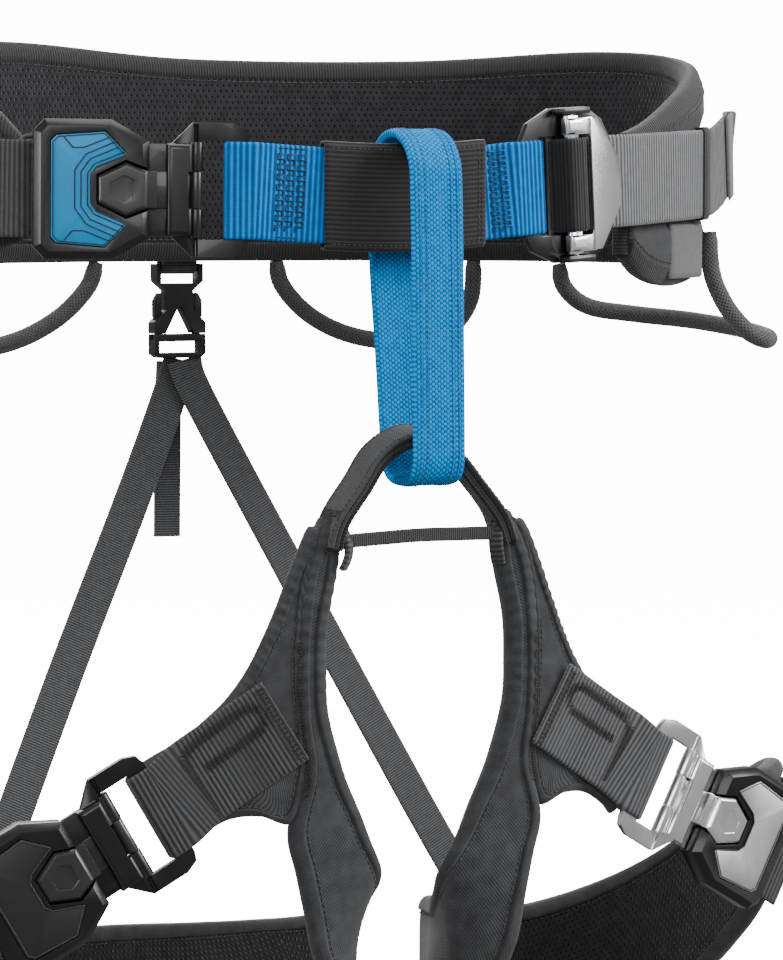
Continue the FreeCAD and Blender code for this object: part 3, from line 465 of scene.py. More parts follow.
class Panel:
    """Pad between two rails: rows of lower and upper points, each with its own outward normal."""

    def __init__(self, lower, upper, lower_normal, upper_normal, bow=0.0, follow=None):
        self.low, self.high = np.asarray(lower), np.asarray(upper)
        self.low_n, self.high_n = unit(lower_normal), unit(upper_normal)
        self.width = np.linalg.norm(self.high - self.low, axis=1)
        middle = (self.low + self.high) / 2
        step = np.linalg.norm(np.diff(middle, axis=0), axis=1)
        self.s = np.concatenate([[0], np.cumsum(step)])
        self.bow, self.follow = np.broadcast_to(bow, self.width.shape), follow

    def at(self, x, out):
        """Points at share x of the way across each row (arrays of rows by columns), and normals."""
        x = np.asarray(x, float)
        p = self.low[:, None] * (1 - x)[..., None] + self.high[:, None] * x[..., None]
        n = unit(self.low_n[:, None] * (1 - x)[..., None] + self.high_n[:, None] * x[..., None])
        if self.follow:
            round_it = self.follow(x, 0)
            p = p + (round_it - p) * WRAP_SHARE
            n = unit(n + (unit(self.follow(x, 1) - round_it) - n) * WRAP_SHARE)
        bowed = (self.bow * self.width)[:, None] * 4 * x * (1 - x)
        return p + n * (np.asarray(out) + bowed)[..., None], n

    def grid(self, count):
        x = np.linspace(0, 1, count)
        x = 0.5 - 0.5 * (np.cos(x * math.pi) * 0.45 + (1 - 2 * x) * 0.55)
        x = np.broadcast_to(x, (len(self.low), count))
        across = x * self.width[:, None]
        return x, across, np.minimum(across, self.width[:, None] - across)

    def line(self, edge, inset, out):
        """Line beside a rail: edge is "low" or "high", inset its distance in from the rail."""
        x = np.broadcast_to(inset, self.width.shape) / self.width
        x = (x if edge == "low" else 1 - x)[:, None]
        p, n = self.at(x, np.broadcast_to(out, self.width.shape)[:, None])
        return p[:, 0], n[:, 0]

    def pad(self, name, outer, inner, *look, count=30):
        """Closed form: outer and inner give the distance out for (along, across, from the edge)."""
        x, across, edge = self.grid(count)
        along = np.broadcast_to(self.s[:, None], x.shape)
        top, _ = self.at(x, outer(along, across, edge))
        bottom, _ = self.at(x, inner(along, across, edge))
        return skin(name, top, bottom, np.stack([along, across], -1), *look)

    def binding(self, name, edge, reach, over, outer, inner, lift, *look):
        """Strip folded over a rail: it hugs the pad's faces and ends reach inside the rail."""
        inset = reach * (1 - np.linspace(0, 1, 8) ** 1.2)
        proud = lift * np.sqrt(1 - np.clip((inset - reach * 0.7) / (reach * 0.3), 0, 1) ** 2)
        inset, proud = inset[None], proud[None]
        across = inset if edge == "low" else self.width[:, None] - inset
        along = np.broadcast_to(self.s[:, None], (len(self.s), inset.shape[1]))
        across = np.broadcast_to(across, along.shape)
        near = np.broadcast_to(inset, along.shape)
        top, bottom = outer(along, across, near) + proud, inner(along, across, near) - proud
        turn = np.radians(np.array([60, 30, 0, -30, -60]))[None]
        middle, half = (top[:, -1:] + bottom[:, -1:]) / 2, (top[:, -1:] - bottom[:, -1:]) / 2
        out = np.concatenate([top, middle + half * np.sin(turn), bottom[:, ::-1]], 1)
        bend = np.broadcast_to(-over * np.cos(turn), (len(self.s), 5))
        x = np.concatenate([near, bend, near[:, ::-1]], 1) / self.width[:, None]
        p, _ = self.at(x if edge == "low" else 1 - x, out)
        share = np.abs(np.arange(p.shape[1]) / p.shape[1] - 0.5)[None] * 2
        uv = np.stack(np.broadcast_arrays(self.s[:, None], share * (2 * reach + 12)), -1)
        return mesh_piece(name, p, tube_faces(*p.shape[:2]), uv, *look)


# ---- materials ----
class Value:
    """A number in a material's nodes, with arithmetic."""

    def __init__(self, tree, socket):
        self.tree, self.socket = tree, socket

    def op(self, kind, other=None, third=None):
        node = self.tree.nodes.new("ShaderNodeMath")
        node.operation = kind
        for i, item in enumerate((self, other, third)):
            if isinstance(item, Value):
                self.tree.links.new(item.socket, node.inputs[i])
            elif item is not None:
                node.inputs[i].default_value = item
        return Value(self.tree, node.outputs[0])

    def __add__(self, other):
        return self.op("ADD", other)

    def __sub__(self, other):
        return self.op("SUBTRACT", other)

    def __mul__(self, other):
        return self.op("MULTIPLY", other)

    def sin(self):
        return self.op("SINE")

    def abs(self):
        return self.op("ABSOLUTE")

    def floor(self):
        return self.op("FLOOR")

    def fract(self):
        return self.op("FRACT")

    def clamp(self, low, high):
        """0 at low and below, 1 at high and above, smooth between."""
        node = self.tree.nodes.new("ShaderNodeMapRange")
        node.interpolation_type = "SMOOTHSTEP"
        node.inputs["From Min"].default_value, node.inputs["From Max"].default_value = low, high
        self.tree.links.new(self.socket, node.inputs["Value"])
        return Value(self.tree, node.outputs[0])


class Finish:
    """A procedural material: UVs are millimetres along and across the piece."""

    def __init__(self, name, roughness=0.8, metallic=0.0, sheen=0.0, specular=0.5, coat=0.0):
        self.material = bpy.data.materials.new(name)
        self.material.use_nodes = True
        self.tree = self.material.node_tree
        self.shader = self.tree.nodes["Principled BSDF"]
        for socket, value in (("Roughness", roughness), ("Metallic", metallic), ("Coat Weight", coat),
                              ("Sheen Weight", sheen), ("Sheen Roughness", 0.4),
                              ("Specular IOR Level", specular)):
            self.shader.inputs[socket].default_value = value
        self.place = self.tree.nodes.new("ShaderNodeTexCoord")

    def uv(self):
        node = self.tree.nodes.new("ShaderNodeSeparateXYZ")
        self.tree.links.new(self.place.outputs["UV"], node.inputs[0])
        return Value(self.tree, node.outputs[0]), Value(self.tree, node.outputs[1])

    def speckle(self, scale, detail=3.0):
        """Noise in the object's own space: scale is features a metre."""
        node = self.tree.nodes.new("ShaderNodeTexNoise")
        node.inputs["Scale"].default_value = scale
        node.inputs["Detail"].default_value = detail
        self.tree.links.new(self.place.outputs["Object"], node.inputs["Vector"])
        return Value(self.tree, node.outputs[0])

    def mix(self, factor, dark, light):
        """Blend of two colours: light may be another blend's socket."""
        node = self.tree.nodes.new("ShaderNodeMix")
        node.data_type = "RGBA"
        self.tree.links.new(factor.socket, node.inputs[0])
        node.inputs[6].default_value = (*dark, 1)
        if isinstance(light, tuple):
            node.inputs[7].default_value = (*light, 1)
        else:
            self.tree.links.new(light, node.inputs[7])
        return node.outputs[2]

    def colour(self, factor, dark, light):
        self.tree.links.new(self.mix(factor, dark, light), self.shader.inputs["Base Color"])

    def rough(self, factor, low, high):
        value = factor * (high - low) + low
        self.tree.links.new(value.socket, self.shader.inputs["Roughness"])

    def bump(self, height, distance, strength=1.0):
        node = self.tree.nodes.new("ShaderNodeBump")
        node.inputs["Distance"].default_value = distance * MM
        node.inputs["Strength"].default_value = strength
        self.tree.links.new(height.socket, node.inputs["Height"])
        self.tree.links.new(node.outputs[0], self.shader.inputs["Normal"])
        return self.material


def woven(name, dark, light, along=1.3, across=0.9, sheen=0.3, rough=0.72, depth=0.18, heather=0.35,
          specular=0.35):
    """Plain weave of yarns, with painted shade in the valleys between them: along and across are their
    pitches in millimetres.
    """
    made = Finish(name, roughness=rough, sheen=sheen, specular=specular)
    u, v = made.uv()
    row = (v * (1 / across)).floor()
    over = ((u * (TWO_PI / along)) + row * math.pi).sin() * 0.5 + 0.5
    crown = (v * (math.pi / across)).sin().abs()
    yarn = over * 0.65 + crown * 0.35
    mottle = made.speckle(260, 4)
    # Colour follows the yarns' height: the dark colour in the valleys between yarns is painted shade; the
    # mottle is the yarns' own random tone.
    made.colour((yarn * (1 - heather) + mottle * heather).clamp(0.12, 0.85), dark, light)
    made.rough(mottle, rough - 0.1, rough + 0.12)
    return made.bump(yarn + mottle * 0.3, depth)


def ribbed(name, dark, light, pitch=2.5, yarn=0.8, sheen=0.25, rough=0.75, depth=0.35, specular=0.35):
    """Webbing with ribs across it, and fine yarns along them, with painted shade in the valleys between
    ribs and yarns.
    """
    made = Finish(name, roughness=rough, sheen=sheen, specular=specular)
    u, v = made.uv()
    ribs = (u * (TWO_PI / pitch)).sin() * 0.5 + 0.5
    fine = (v * (math.pi / yarn)).sin().abs() * 0.5 + ((u * (TWO_PI / 0.7)) + v * 3.0).sin() * 0.25
    mottle = made.speckle(240, 4)
    height = ribs * 0.75 + fine * 0.35
    # Colour follows the rib height: the dark colour in the valleys between ribs and yarns is painted shade;
    # the mottle is the yarns' own random tone.
    made.colour((height * 0.75 + mottle * 0.3).clamp(0.1, 0.95), dark, light)
    made.rough(mottle, rough - 0.1, rough + 0.1)
    return made.bump(height, depth)


def twill(name, dark, light, pitch=1.5, sheen=0.2, rough=0.78, depth=0.14):
    """Pad fabric with diagonal wales, with painted shade in the valleys between them."""
    made = Finish(name, roughness=rough, sheen=sheen, specular=0.3)
    u, v = made.uv()
    wale = (u * (TWO_PI * 0.8 / pitch) + v * (TWO_PI * 0.6 / pitch)).sin() * 0.5 + 0.5
    cross = (u * (TWO_PI / 0.8)).sin() * 0.5 + 0.5
    mottle = made.speckle(140, 5)
    height = wale * 0.7 + cross * 0.3
    # Colour follows the wale height: the dark colour in the valleys between wales is painted shade; the
    # mottle is the fabric's own random tone.
    made.colour((height * 0.5 + mottle * 0.6).clamp(0.15, 0.95), dark, light)
    made.rough(mottle, rough - 0.08, rough + 0.12)
    return made.bump(height + mottle * 0.4, depth)


def perforated(name, dark, light, painted_hole_shade, pitch=3.4, radius=0.75, sheen=0.35):
    """Knitted lining with staggered small holes, painted near black as the shade inside them, and painted
    shade between the knit's loops.
    """
    made = Finish(name, roughness=0.9, sheen=sheen, specular=0.25)
    u, v = made.uv()
    row = v * (1 / (pitch * 0.86))
    x = ((u * (1 / pitch) + row.floor() * 0.5).fract() - 0.5) * pitch
    y = (row.fract() - 0.5) * (pitch * 0.86)
    distance = (x * x + y * y).op("SQRT")
    solid = distance.clamp(radius * 0.55, radius * 1.25)
    knit = (u * (TWO_PI / 0.85)).sin() * ((v * (TWO_PI / 0.85)).sin()) * 0.5 + 0.5
    mottle = made.speckle(180, 4)
    # The knit's colour falls to the dark colour between its loops, which is painted shade, and the mottle
    # is the yarns' own random tone. The holes take a near-black colour, painted shade inside them.
    yarns = made.mix((knit * 0.5 + mottle * 0.6).clamp(0.15, 0.95), dark, light)
    made.colour(solid, painted_hole_shade, yarns)
    return made.bump(solid + knit * 0.15, 0.4)


def braided(name, dark, light, pitch=2.2, sheen=0.2, rough=0.7):
    """Sleeve of crossing yarns, with painted shade in the grooves between them."""
    made = Finish(name, roughness=rough, sheen=sheen, specular=0.4)
    u, v = made.uv()
    one = (u * (math.pi / pitch) + v * (math.pi / pitch)).sin().abs()
    two = (u * (math.pi / pitch) - v * (math.pi / pitch)).sin().abs()
    height = one.op("MAXIMUM", two)
    mottle = made.speckle(220, 4)
    # Colour follows the braid's height: the dark colour in the grooves between crossing yarns is painted
    # shade; the mottle is the yarns' own random tone.
    made.colour((height * 0.8 + mottle * 0.3).clamp(0.45, 1.05), dark, light)
    return made.bump(height, 0.4)


def moulded(name, dark, light, rough=0.42, grain=0.03, coat=0.0, specular=0.5):
    """Plastic or painted metal with fine grain, smudges, and paler edges that are a painted highlight on
    the bevels.
    """
    made = Finish(name, roughness=rough, coat=coat, specular=specular)
    geometry = made.tree.nodes.new("ShaderNodeNewGeometry")
    # Pointiness paints the bevelled edges in the lighter colour as a painted highlight; the smudges are
    # real random tone.
    painted_edge_highlight = Value(made.tree, geometry.outputs["Pointiness"]).clamp(0.52, 0.62)
    smudge = made.speckle(45, 5)
    fine = made.speckle(2600, 2)
    made.colour((painted_edge_highlight * 0.75 + smudge * 0.3).clamp(0.0, 1.0), dark, light)
    made.rough(smudge * 0.7 + fine * 0.3, rough - 0.08, rough + 0.14)
    return made.bump(fine, grain)


def metal(name, dark, light, rough=0.16, grain=0.012):
    """Polished or blasted metal with fine scratches."""
    made = Finish(name, roughness=rough, metallic=1.0)
    smudge = made.speckle(60, 5)
    fine = made.speckle(900, 4)
    made.colour(smudge.clamp(0.25, 0.75), dark, light)
    made.rough(smudge * 0.5 + fine * 0.5, rough * 0.7, rough * 1.5)
    return made.bump(fine, grain)


def grey(level, tint=(1, 1, 1)):
    return tuple(level * c for c in tint)


COOL, COOLER = (1, 1.02, 1.06), (1, 1.02, 1.08)

BLUE_LOOP = woven("blue_loop_webbing", (0.0, 0.065, 0.24), (0.0, 0.32, 0.76), 2.3, 1.5, 0.0, depth=0.3,
                  specular=0.1)
BLUE_WEB = ribbed("blue_webbing", (0.0, 0.055, 0.22), (0.0, 0.27, 0.74), 2.7, 0.9, sheen=0.0, specular=0.1)
BLUE_THREAD = woven("blue_thread", (0.0, 0.09, 0.32), (0.01, 0.28, 0.70), 0.7, 0.5)
NAVY_THREAD = woven("navy_thread", (0.001, 0.008, 0.022), (0.004, 0.02, 0.05), 0.7, 0.5)
DARK_THREAD = woven("dark_thread", grey(0.003), grey(0.012), 0.7, 0.5)
GREY_THREAD = woven("grey_thread", grey(0.02), grey(0.07), 0.7, 0.5)
PROTECTOR = ribbed("protector_webbing", (0.007, 0.006, 0.006), (0.034, 0.029, 0.028), 2.2)
# Lit copy of the waist strap's grey webbing: painted light on the strap's right, where the key lamp falls.
GREY_WEB_LIT_COPY = ribbed("grey_webbing", grey(0.042, (1, 1.02, 1.05)), grey(0.26, (1, 1.02, 1.05)), 2.5)
DARK_WEB = ribbed("dark_grey_webbing", grey(0.012, COOL), grey(0.075, COOL), 2.3)
# Lit copy of the leg front webbing: painted light on the left leg, on the key lamp's side.
MID_WEB_LIT_COPY = ribbed("mid_grey_webbing", grey(0.016, COOL), grey(0.13, COOL), 2.3)
SMOOTH_WEB = woven("smooth_grey_webbing", grey(0.012, (1, 1.01, 1.04)), grey(0.055, (1, 1.02, 1.05)), 1.2,
                   0.8)
BLACK_WEB = ribbed("black_webbing", grey(0.003), grey(0.016), 1.7, 0.7)
RISER_WEB = ribbed("riser_webbing", grey(0.016, (1, 1.01, 1.04)), grey(0.115, (1, 1.03, 1.06)), 1.3, 0.8)
SHELL = twill("pad_fabric", grey(0.014, COOLER), grey(0.075, (1, 1.03, 1.08)), 1.3)
ROLL = twill("rolled_edge_fabric", grey(0.012, COOLER), grey(0.066, (1, 1.03, 1.08)), 1.2)
COVER = woven("belt_cover_fabric", grey(0.012, (1, 1, 1.04)), grey(0.055, (1, 1, 1.03)), 1.0, 0.8)
LINER = perforated("mesh_liner", grey(0.007, (1, 1, 1.1)), grey(0.036, (1, 1.02, 1.1)), grey(0.001))
BINDING = ribbed("edge_binding", grey(0.006), grey(0.032), 1.6, 0.6)
TRIM = woven("trim_fabric", grey(0.045, (1, 1.01, 1.04)), grey(0.17, (1, 1.01, 1.04)), 1.1, 0.9)
SLEEVE = braided("gear_loop_sleeve", grey(0.008), grey(0.095))
ELASTIC = ribbed("elastic_cord", grey(0.012), grey(0.07), 1.1, 0.7)
BLACK_METAL = moulded("black_anodised", grey(0.002), grey(0.03), 0.30, 0.012, coat=0.12, specular=0.4)
HEAD_METAL = moulded("dark_latch", grey(0.012), grey(0.11), 0.30, 0.02, coat=0.3)
BLACK_PLASTIC = moulded("black_plastic", grey(0.003), grey(0.03), 0.44, 0.03)
POLISHED = metal("polished_silver", grey(0.84), grey(0.92), 0.22, 0.006)
BLUE_PANEL = moulded("blue_inlay", (0.0, 0.22, 0.48), (0.0, 0.36, 0.68), 0.36, 0.02, specular=0.25)
DARK_PANEL = moulded("dark_inlay", grey(0.006), grey(0.05), 0.45, 0.02)
SILVER_PANEL = metal("silver_inlay", grey(0.58), grey(0.66), 0.45, 0.01)


# ---- floor, backdrop and light ----
FLOOR_Z = cad_box[0].z / MM - 1.0
BOWL_SIDES, BOWL_FLOOR, BOWL_TURN, BOWL_HEIGHT = 72, 9000.0, 3000.0, 9000.0
BOWL = [(400.0, 0.0), (BOWL_FLOOR, 0.0)]
BOWL += [(BOWL_FLOOR + BOWL_TURN * math.sin(a), BOWL_TURN * (1 - math.cos(a)))
         for a in np.linspace(0.1, math.pi / 2, 12)]
BOWL += [(BOWL_FLOOR + BOWL_TURN, BOWL_HEIGHT)]
PAPER_GLOW, WORLD_LIGHT = 14.0, 0.36
PAPER = Finish("studio_paper", roughness=0.95, specular=0.1)
PAPER.colour(PAPER.speckle(9, 2), grey(0.86), grey(0.90))
PAPER.shader.inputs["Emission Color"].default_value = (1, 1, 1, 1)
PAPER.shader.inputs["Emission Strength"].default_value = PAPER_GLOW
PAPER.bump(PAPER.speckle(300, 2), 0.02)


def backdrop():
    """Pale floor that rises to a round backdrop behind every camera position."""
    turn = np.linspace(0, TWO_PI, BOWL_SIDES, endpoint=False)
    points = [[0.0, 0.0, FLOOR_Z]]
    points += [[r * math.cos(a), r * math.sin(a), FLOOR_Z + z] for r, z in BOWL for a in turn]
    sides = [(k, (k + 1) % BOWL_SIDES) for k in range(BOWL_SIDES)]
    faces = [[0, 1 + k, 1 + m] for k, m in sides]
    for a in range(1, 1 + BOWL_SIDES * (len(BOWL) - 1), BOWL_SIDES):
        b = a + BOWL_SIDES
        faces += [[a + k, b + k, b + m, a + m] for k, m in sides]
    mesh = bpy.data.meshes.new("backdrop")
    mesh.from_pydata((np.array(points) * MM).tolist(), [], faces)
    mesh.polygons.foreach_set("use_smooth", [True] * len(mesh.polygons))
    mesh.materials.append(PAPER.material)
    obj = bpy.data.objects.new("backdrop", mesh)
    bpy.context.scene.collection.objects.link(obj)
    obj.visible_diffuse = obj.visible_glossy = obj.visible_shadow = False


LAMP_TARGET = (0, 0, -0.15)


def lamp(name, where, size, power):
    light = bpy.data.lights.new(name, "AREA")
    light.shape, light.size, light.size_y, light.energy = "RECTANGLE", size[0], size[1], power
    obj = bpy.data.objects.new(name, light)
    bpy.context.scene.collection.objects.link(obj)
    obj.location = Vector(where)
    aim(obj, LAMP_TARGET)


backdrop()
for lamp_spec in (("key_light", (2.3, -1.5, 1.1), (1.6, 1.6), 104),
                  ("fill_light", (-1.3, -2.4, 0.9), (1.6, 1.4), 38),
                  ("rim_light", (-2.4, 0.1, 0.5), (0.5, 1.6), 34),
                  ("top_light", (0.2, 0.2, 2.3), (2.0, 1.6), 44),
                  ("back_light", (0.6, 2.2, 1.0), (1.6, 1.2), 34)):
    lamp(*lamp_spec)
world = bpy.data.worlds.new("studio")
bpy.context.scene.world = world
world.use_nodes = True
world.node_tree.nodes["Background"].inputs["Color"].default_value = (0.97, 0.98, 1.0, 1)
world.node_tree.nodes["Background"].inputs["Strength"].default_value = WORLD_LIGHT


# ---- waist belt ----
def belt_panel(step):
    t = np.interp(np.arange(ring_s(BELT_START), ring_s(BELT_END), step), RING_S, RING_T)
    t = np.append(t, BELT_END)
    low, high = ring(t, 0, profile(BELT_BOTTOM, t)), ring(t, 0, profile(BELT_TOP, t))
    normal = ring_out(t)
    return Panel(low, high, normal, normal), t


def pillow(edge, radius, drop):
    """How far a pad's face falls away near its edge."""
    x = np.clip(1 - edge / radius, 0, 1)
    return drop * (1 - np.sqrt(1 - 0.98 * x * x))


def smoothstep(x):
    x = np.clip(x, 0, 1)
    return x * x * (3 - 2 * x)


belt, belt_t = belt_panel(3.0)


def belt_web_height(along, across):
    t = np.interp(along, belt.s, belt_t)
    return across + profile(BELT_BOTTOM, t) - rise(t)


def belt_outer(along, across, edge):
    beside = np.abs(belt_web_height(along, across)) - 23
    puff = smoothstep(beside / 7) * smoothstep((edge - 3) / 8)
    return -3.1 - pillow(edge, 9, 3.0) + 2.2 * puff + 0.22 * noise(along, across, 38, 3)


def belt_inner(along, across, edge):
    return -12.2 + pillow(edge, 11, 3.2) - 0.9 * smoothstep(edge / 30) + 0.2 * noise(along, across, 45, 4)


def belt_lining(along, across, edge):
    return belt_inner(along, across, edge) - 1.4


pad = belt.pad("waist_pad", belt_outer, belt_inner, SHELL, ROOT, "shell_fabric",
               ["waist_pad_shell", "waist_pad_foam"])
belt.pad("waist_pad_mesh", lambda a, c, e: belt_inner(a, c, e) - 0.1, belt_lining, LINER, ROOT, "liner",
         ["waist_pad_liner"])
fine_belt, _ = belt_panel(1.2)
for edge_name in ("high", "low"):
    strip = fine_belt.binding(f"waist_binding_{edge_name}", edge_name, 8.0, 1.6, belt_outer, belt_lining,
                              0.9, BINDING, ROOT, "binding")
    if edge_name == "high":
        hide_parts("waist_pad_binding")
for end_name, t_end in (("left", BELT_START), ("right", BELT_END)):
    lo, hi = profile(BELT_BOTTOM, t_end) + 1, profile(BELT_TOP, t_end) - 1
    wide = unit(ring(t_end + 1) - ring(t_end))
    rows = [(ring(t_end, -8.6, z), wide) for z in np.linspace(lo, hi, 20)]
    Strap(rows, 4.5, 8.6).build(
        f"belt_end_binding_{end_name}", BINDING, ROOT, "binding", count=14, edge=4.0)


def belt_cover():
    """Outer cover over the waist strap, from hip to hip round the back."""
    t = np.interp(np.arange(ring_s(100), ring_s(262) + 1, 2.5), RING_S, RING_T)
    v = np.linspace(-31, 31, 33)
    m = rise(t)[:, None]
    x = np.abs(v)[None]
    s = ring_s(t)[:, None]
    out = -2.2 + 4.6 * smoothstep((31.2 - x) / 7.5) + 0.15 * noise(s, v[None], 30, 8)
    ends = np.minimum(s - s[0], s[-1] - s)
    out = out - 1.0 * (1 - smoothstep(ends / 4))
    under = np.minimum(out - 0.9, 1.6)
    uv = np.stack(np.broadcast_arrays(s, v[None]), -1)
    skin("belt_cover", ring(t[:, None], out, m + v[None]), ring(t[:, None], under, m + v[None]), uv,
         COVER, ROOT, "cover_fabric", ["waist_pad_cover"])
    lines = []
    for z, row_out in ((-28.4, -0.5), (28.4, -0.5), (-19, 2.62), (19, 2.62)):
        lines += dashes(ring(t, row_out + 0.3, rise(t) + z), ring_out(t), 3.2)
    thread("belt_cover_stitches", lines, GREY_THREAD, ROOT, "cover_fabric")


belt_cover()
lines = []
BELT_SEAM = np.full(len(belt.width), 9.6)
for edge_name in ("high", "low"):
    for face, sign in ((belt_outer, 1), (belt_lining, -1)):
        across = BELT_SEAM if edge_name == "low" else belt.width - BELT_SEAM
        p, n = belt.line(edge_name, BELT_SEAM, face(belt.s, across, BELT_SEAM) + 0.12 * sign)
        lines += dashes(p, n * sign, 3.4)
thread("belt_edge_stitches", lines, GREY_THREAD, ROOT, "binding")


# ---- waist webbing ----
def local_run(points, m):
    """Path points (x, z) of a buckle's own frame, with their width along its bar."""
    return [(placed([x, 0, z], m), m[:3, 1]) for x, z in points]


def ring_run(ts, out):
    return [(ring(t, out, rise(t)), UP) for t in ts]


def steps_between(start, end, step):
    return np.linspace(start, end, max(int(round(abs(end - start) / step)), 1) + 1)


tie_in = ring_run(steps_between(-0.3, -14, 3), -WRAP)
tie_in += local_run(led_bar(FRAME_BAR_BOX, -1, 2.8)[::-1], WAIST)
tie_in += ring_run(steps_between(-14, 12.5, 3), WRAP)
tie_in += local_run(led_bar(ANCHOR_BAR_BOX, 1, 3.6), ADJUSTER)
tie_in += ring_run(steps_between(12.5, 0.3, 3), -WRAP)
tie_in_strap = Strap(tie_in, WEB_HALF, WEB_THICK, 0.6)
tie_in_strap.build(
    "tie_in_webbing", BLUE_WEB, ROOT, "blue_webbing", ["tie_in_webbing"], rib=(2.7, 0.26), count=26)

FLARE = [(70, 3.4, 0.5), (74, 5.4, 2.2), (78, 8.6, 4.8), (82, 12.6, 7.2), (84, 15.0, 8.2)]
flare = [ring(t, out, rise(t) + up) for t, out, up in FLARE]
tail_way = unit(flare[-1] - flare[-3])
tail_out = unit(np.cross(tail_way, UP))
fold = [flare[-1] + tail_way * x + tail_out * (y + WRAP) for x, y in arc((0, 0), WRAP, -67.5, 90, 6)]
fold += [flare[-1] + tail_out * 2 * WRAP - tail_way * back for back in (6, 12)]
BEND = WRAP + 0.6
slider_turn = [(34, -2.8), (15, -2.8), (-5, -2.8), (-8.3, -2.8), (-9.6, -0.6), (-9.6, 2.0)]
slider_turn += arc((-3.9, 7.1), BEND, 180, 90, 3) + arc((3.9, 7.1), BEND, 90, 0, 3)
slider_turn += [(8.6, 3.2), (11, 2.8), (22, 2.8), (34, 2.8)]
strap = ring_run(steps_between(291, 303, 4), 2.6) + local_run(led_bar(SOCKET_BAR_BOX, 1, 1.2), WAIST)
strap += ring_run(steps_between(304, 46, 6), 0) + ring_run([41], 0.8) + ring_run([37.5], 2.0)
strap += local_run(slider_turn, ADJUSTER) + ring_run([38], 5.6) + ring_run([42], 3.4)
strap += ring_run(steps_between(46, 66, 4), 2.7) + [(p, UP) for p in flare + fold]
waist_strap = Strap(strap, WEB_HALF, WEB_THICK, 0.8)
strap_piece = waist_strap.build("waist_webbing", GREY_WEB_LIT_COPY, ROOT, "grey_webbing", ["waist_webbing"],
                                rib=(2.5, 0.2), count=20)
strap_piece.data.materials.append(BLACK_WEB)
strap_piece.data.materials.append(DARK_WEB)
# Faces inside the adjuster's box take the black webbing: painted shade where the strap wraps under the
# slider and base.
to_adjuster = np.linalg.inv(ADJUSTER)
for face in strap_piece.data.polygons:
    local = placed(np.array(face.center) / MM, to_adjuster)
    if abs(local[1]) < 26 and -15 < local[0] < 9.5 and -5 < local[2] < 12:
        face.material_index = 1
    # Faces left of x = -0.03 take the dark grey webbing, a shaded copy of the same strap: painted shade on
    # the side away from the key lamp.
    elif face.center.x < -0.03:
        face.material_index = 2


def sleeve(name, t0, t1, half, out_in, out_out, wall, material, slot, hides, ribs=(0, 0), turned=False):
    """Flat sleeve round the strap: a ring-shaped band from t0 to t1 degrees."""
    s = np.arange(ring_s(t0), ring_s(t1) + 0.01, 0.5)
    t = np.interp(s, RING_S, RING_T)
    a = np.linspace(0, TWO_PI, 48, endpoint=False)
    c, k = np.cos(a), np.sin(a)
    z = half * np.sign(c) * np.abs(c) ** 0.18
    out = (out_in + out_out) / 2 + (out_out - out_in) / 2 * np.sign(k) * np.abs(k) ** 0.35
    ripple = ribs[1] * (0.5 - 0.5 * np.cos(TWO_PI * (s - s[0]) / ribs[0])) if ribs[0] else np.zeros_like(s)
    lip = 0.5 * smoothstep(1 - np.minimum(s - s[0], s[-1] - s) / 1.5)
    grow = (-ripple - lip)[:, None] * np.sign(k)[None]
    outer = ring(t[:, None], out[None] + grow, rise(t)[:, None] + z[None])
    inner_z = (half - wall) * np.sign(c) * np.abs(c) ** 0.18
    inner_out = (out_in + out_out) / 2 + ((out_out - out_in) / 2 - wall) * np.sign(k) * np.abs(k) ** 0.35
    inner = ring(t[:, None], inner_out[None], rise(t)[:, None] + inner_z[None])
    around = np.concatenate([[0], np.cumsum(np.hypot(np.diff(z), np.diff(out)))])
    rows = np.concatenate([outer, inner[::-1]])
    faces = tube_faces(*rows.shape[:2], closed=True)
    uv = np.stack(np.broadcast_arrays(np.concatenate([s, s[::-1]])[:, None], around[None]), -1)
    if turned:
        uv = uv[..., ::-1]
    return mesh_piece(name, rows, faces, uv, material, ROOT, slot, hides)


def tack_along(band, route, half, out, pitch=1.15):
    """Zigzag along a route of (u, v) points on a strap's face."""
    route, _, length = spaced(catmull(route, 6), pitch / 2)
    way = unit(np.gradient(route, axis=0))
    swing = half * np.where(np.arange(len(route)) % 2, 1.0, -1.0)
    u, v = route[:, 0] - way[:, 1] * swing, route[:, 1] + way[:, 0] * swing
    return face_at(band, u, v, out)


def face_at(band, u, v, out):
    p, n = band.at(u, v, (band.thick / 2 + 0.08) * out)
    return p, n * out


def tie_in_spot(t):
    """Distance along the tie-in webbing to its outer run, t degrees from the front, and the way out."""
    i = int(np.argmin(np.linalg.norm(tie_in_strap.p - ring(t, 2.5, rise(t)), axis=1)))
    return tie_in_strap.s[i], facing(tie_in_strap.n[i], ring_out(t))


def tie_in_tack(t, reach, half, pitch=1.5):
    """Upright bar tack on the outer run of the tie-in webbing."""
    at, out = tie_in_spot(t)
    return zigzag(lambda u, v: face_at(tie_in_strap, at + v, u - reach, out), 2 * reach, half, pitch)


def tie_in_dashes(start, end):
    """Running stitch on the tie-in webbing between two points (degrees, height)."""
    t, v = np.linspace(start, end, 30).T
    at, out = np.array([tie_in_spot(k) for k in t]).T
    p, n = tie_in_strap.at(at, v, 0)
    return dashes(p + n * out[:, None] * (WEB_THICK / 2 + 0.1), n * out[:, None], 2.8)


def tie_in_thread(name, lines, material, radius):
    thread(name, lines, material, ROOT, "blue_webbing", radius)


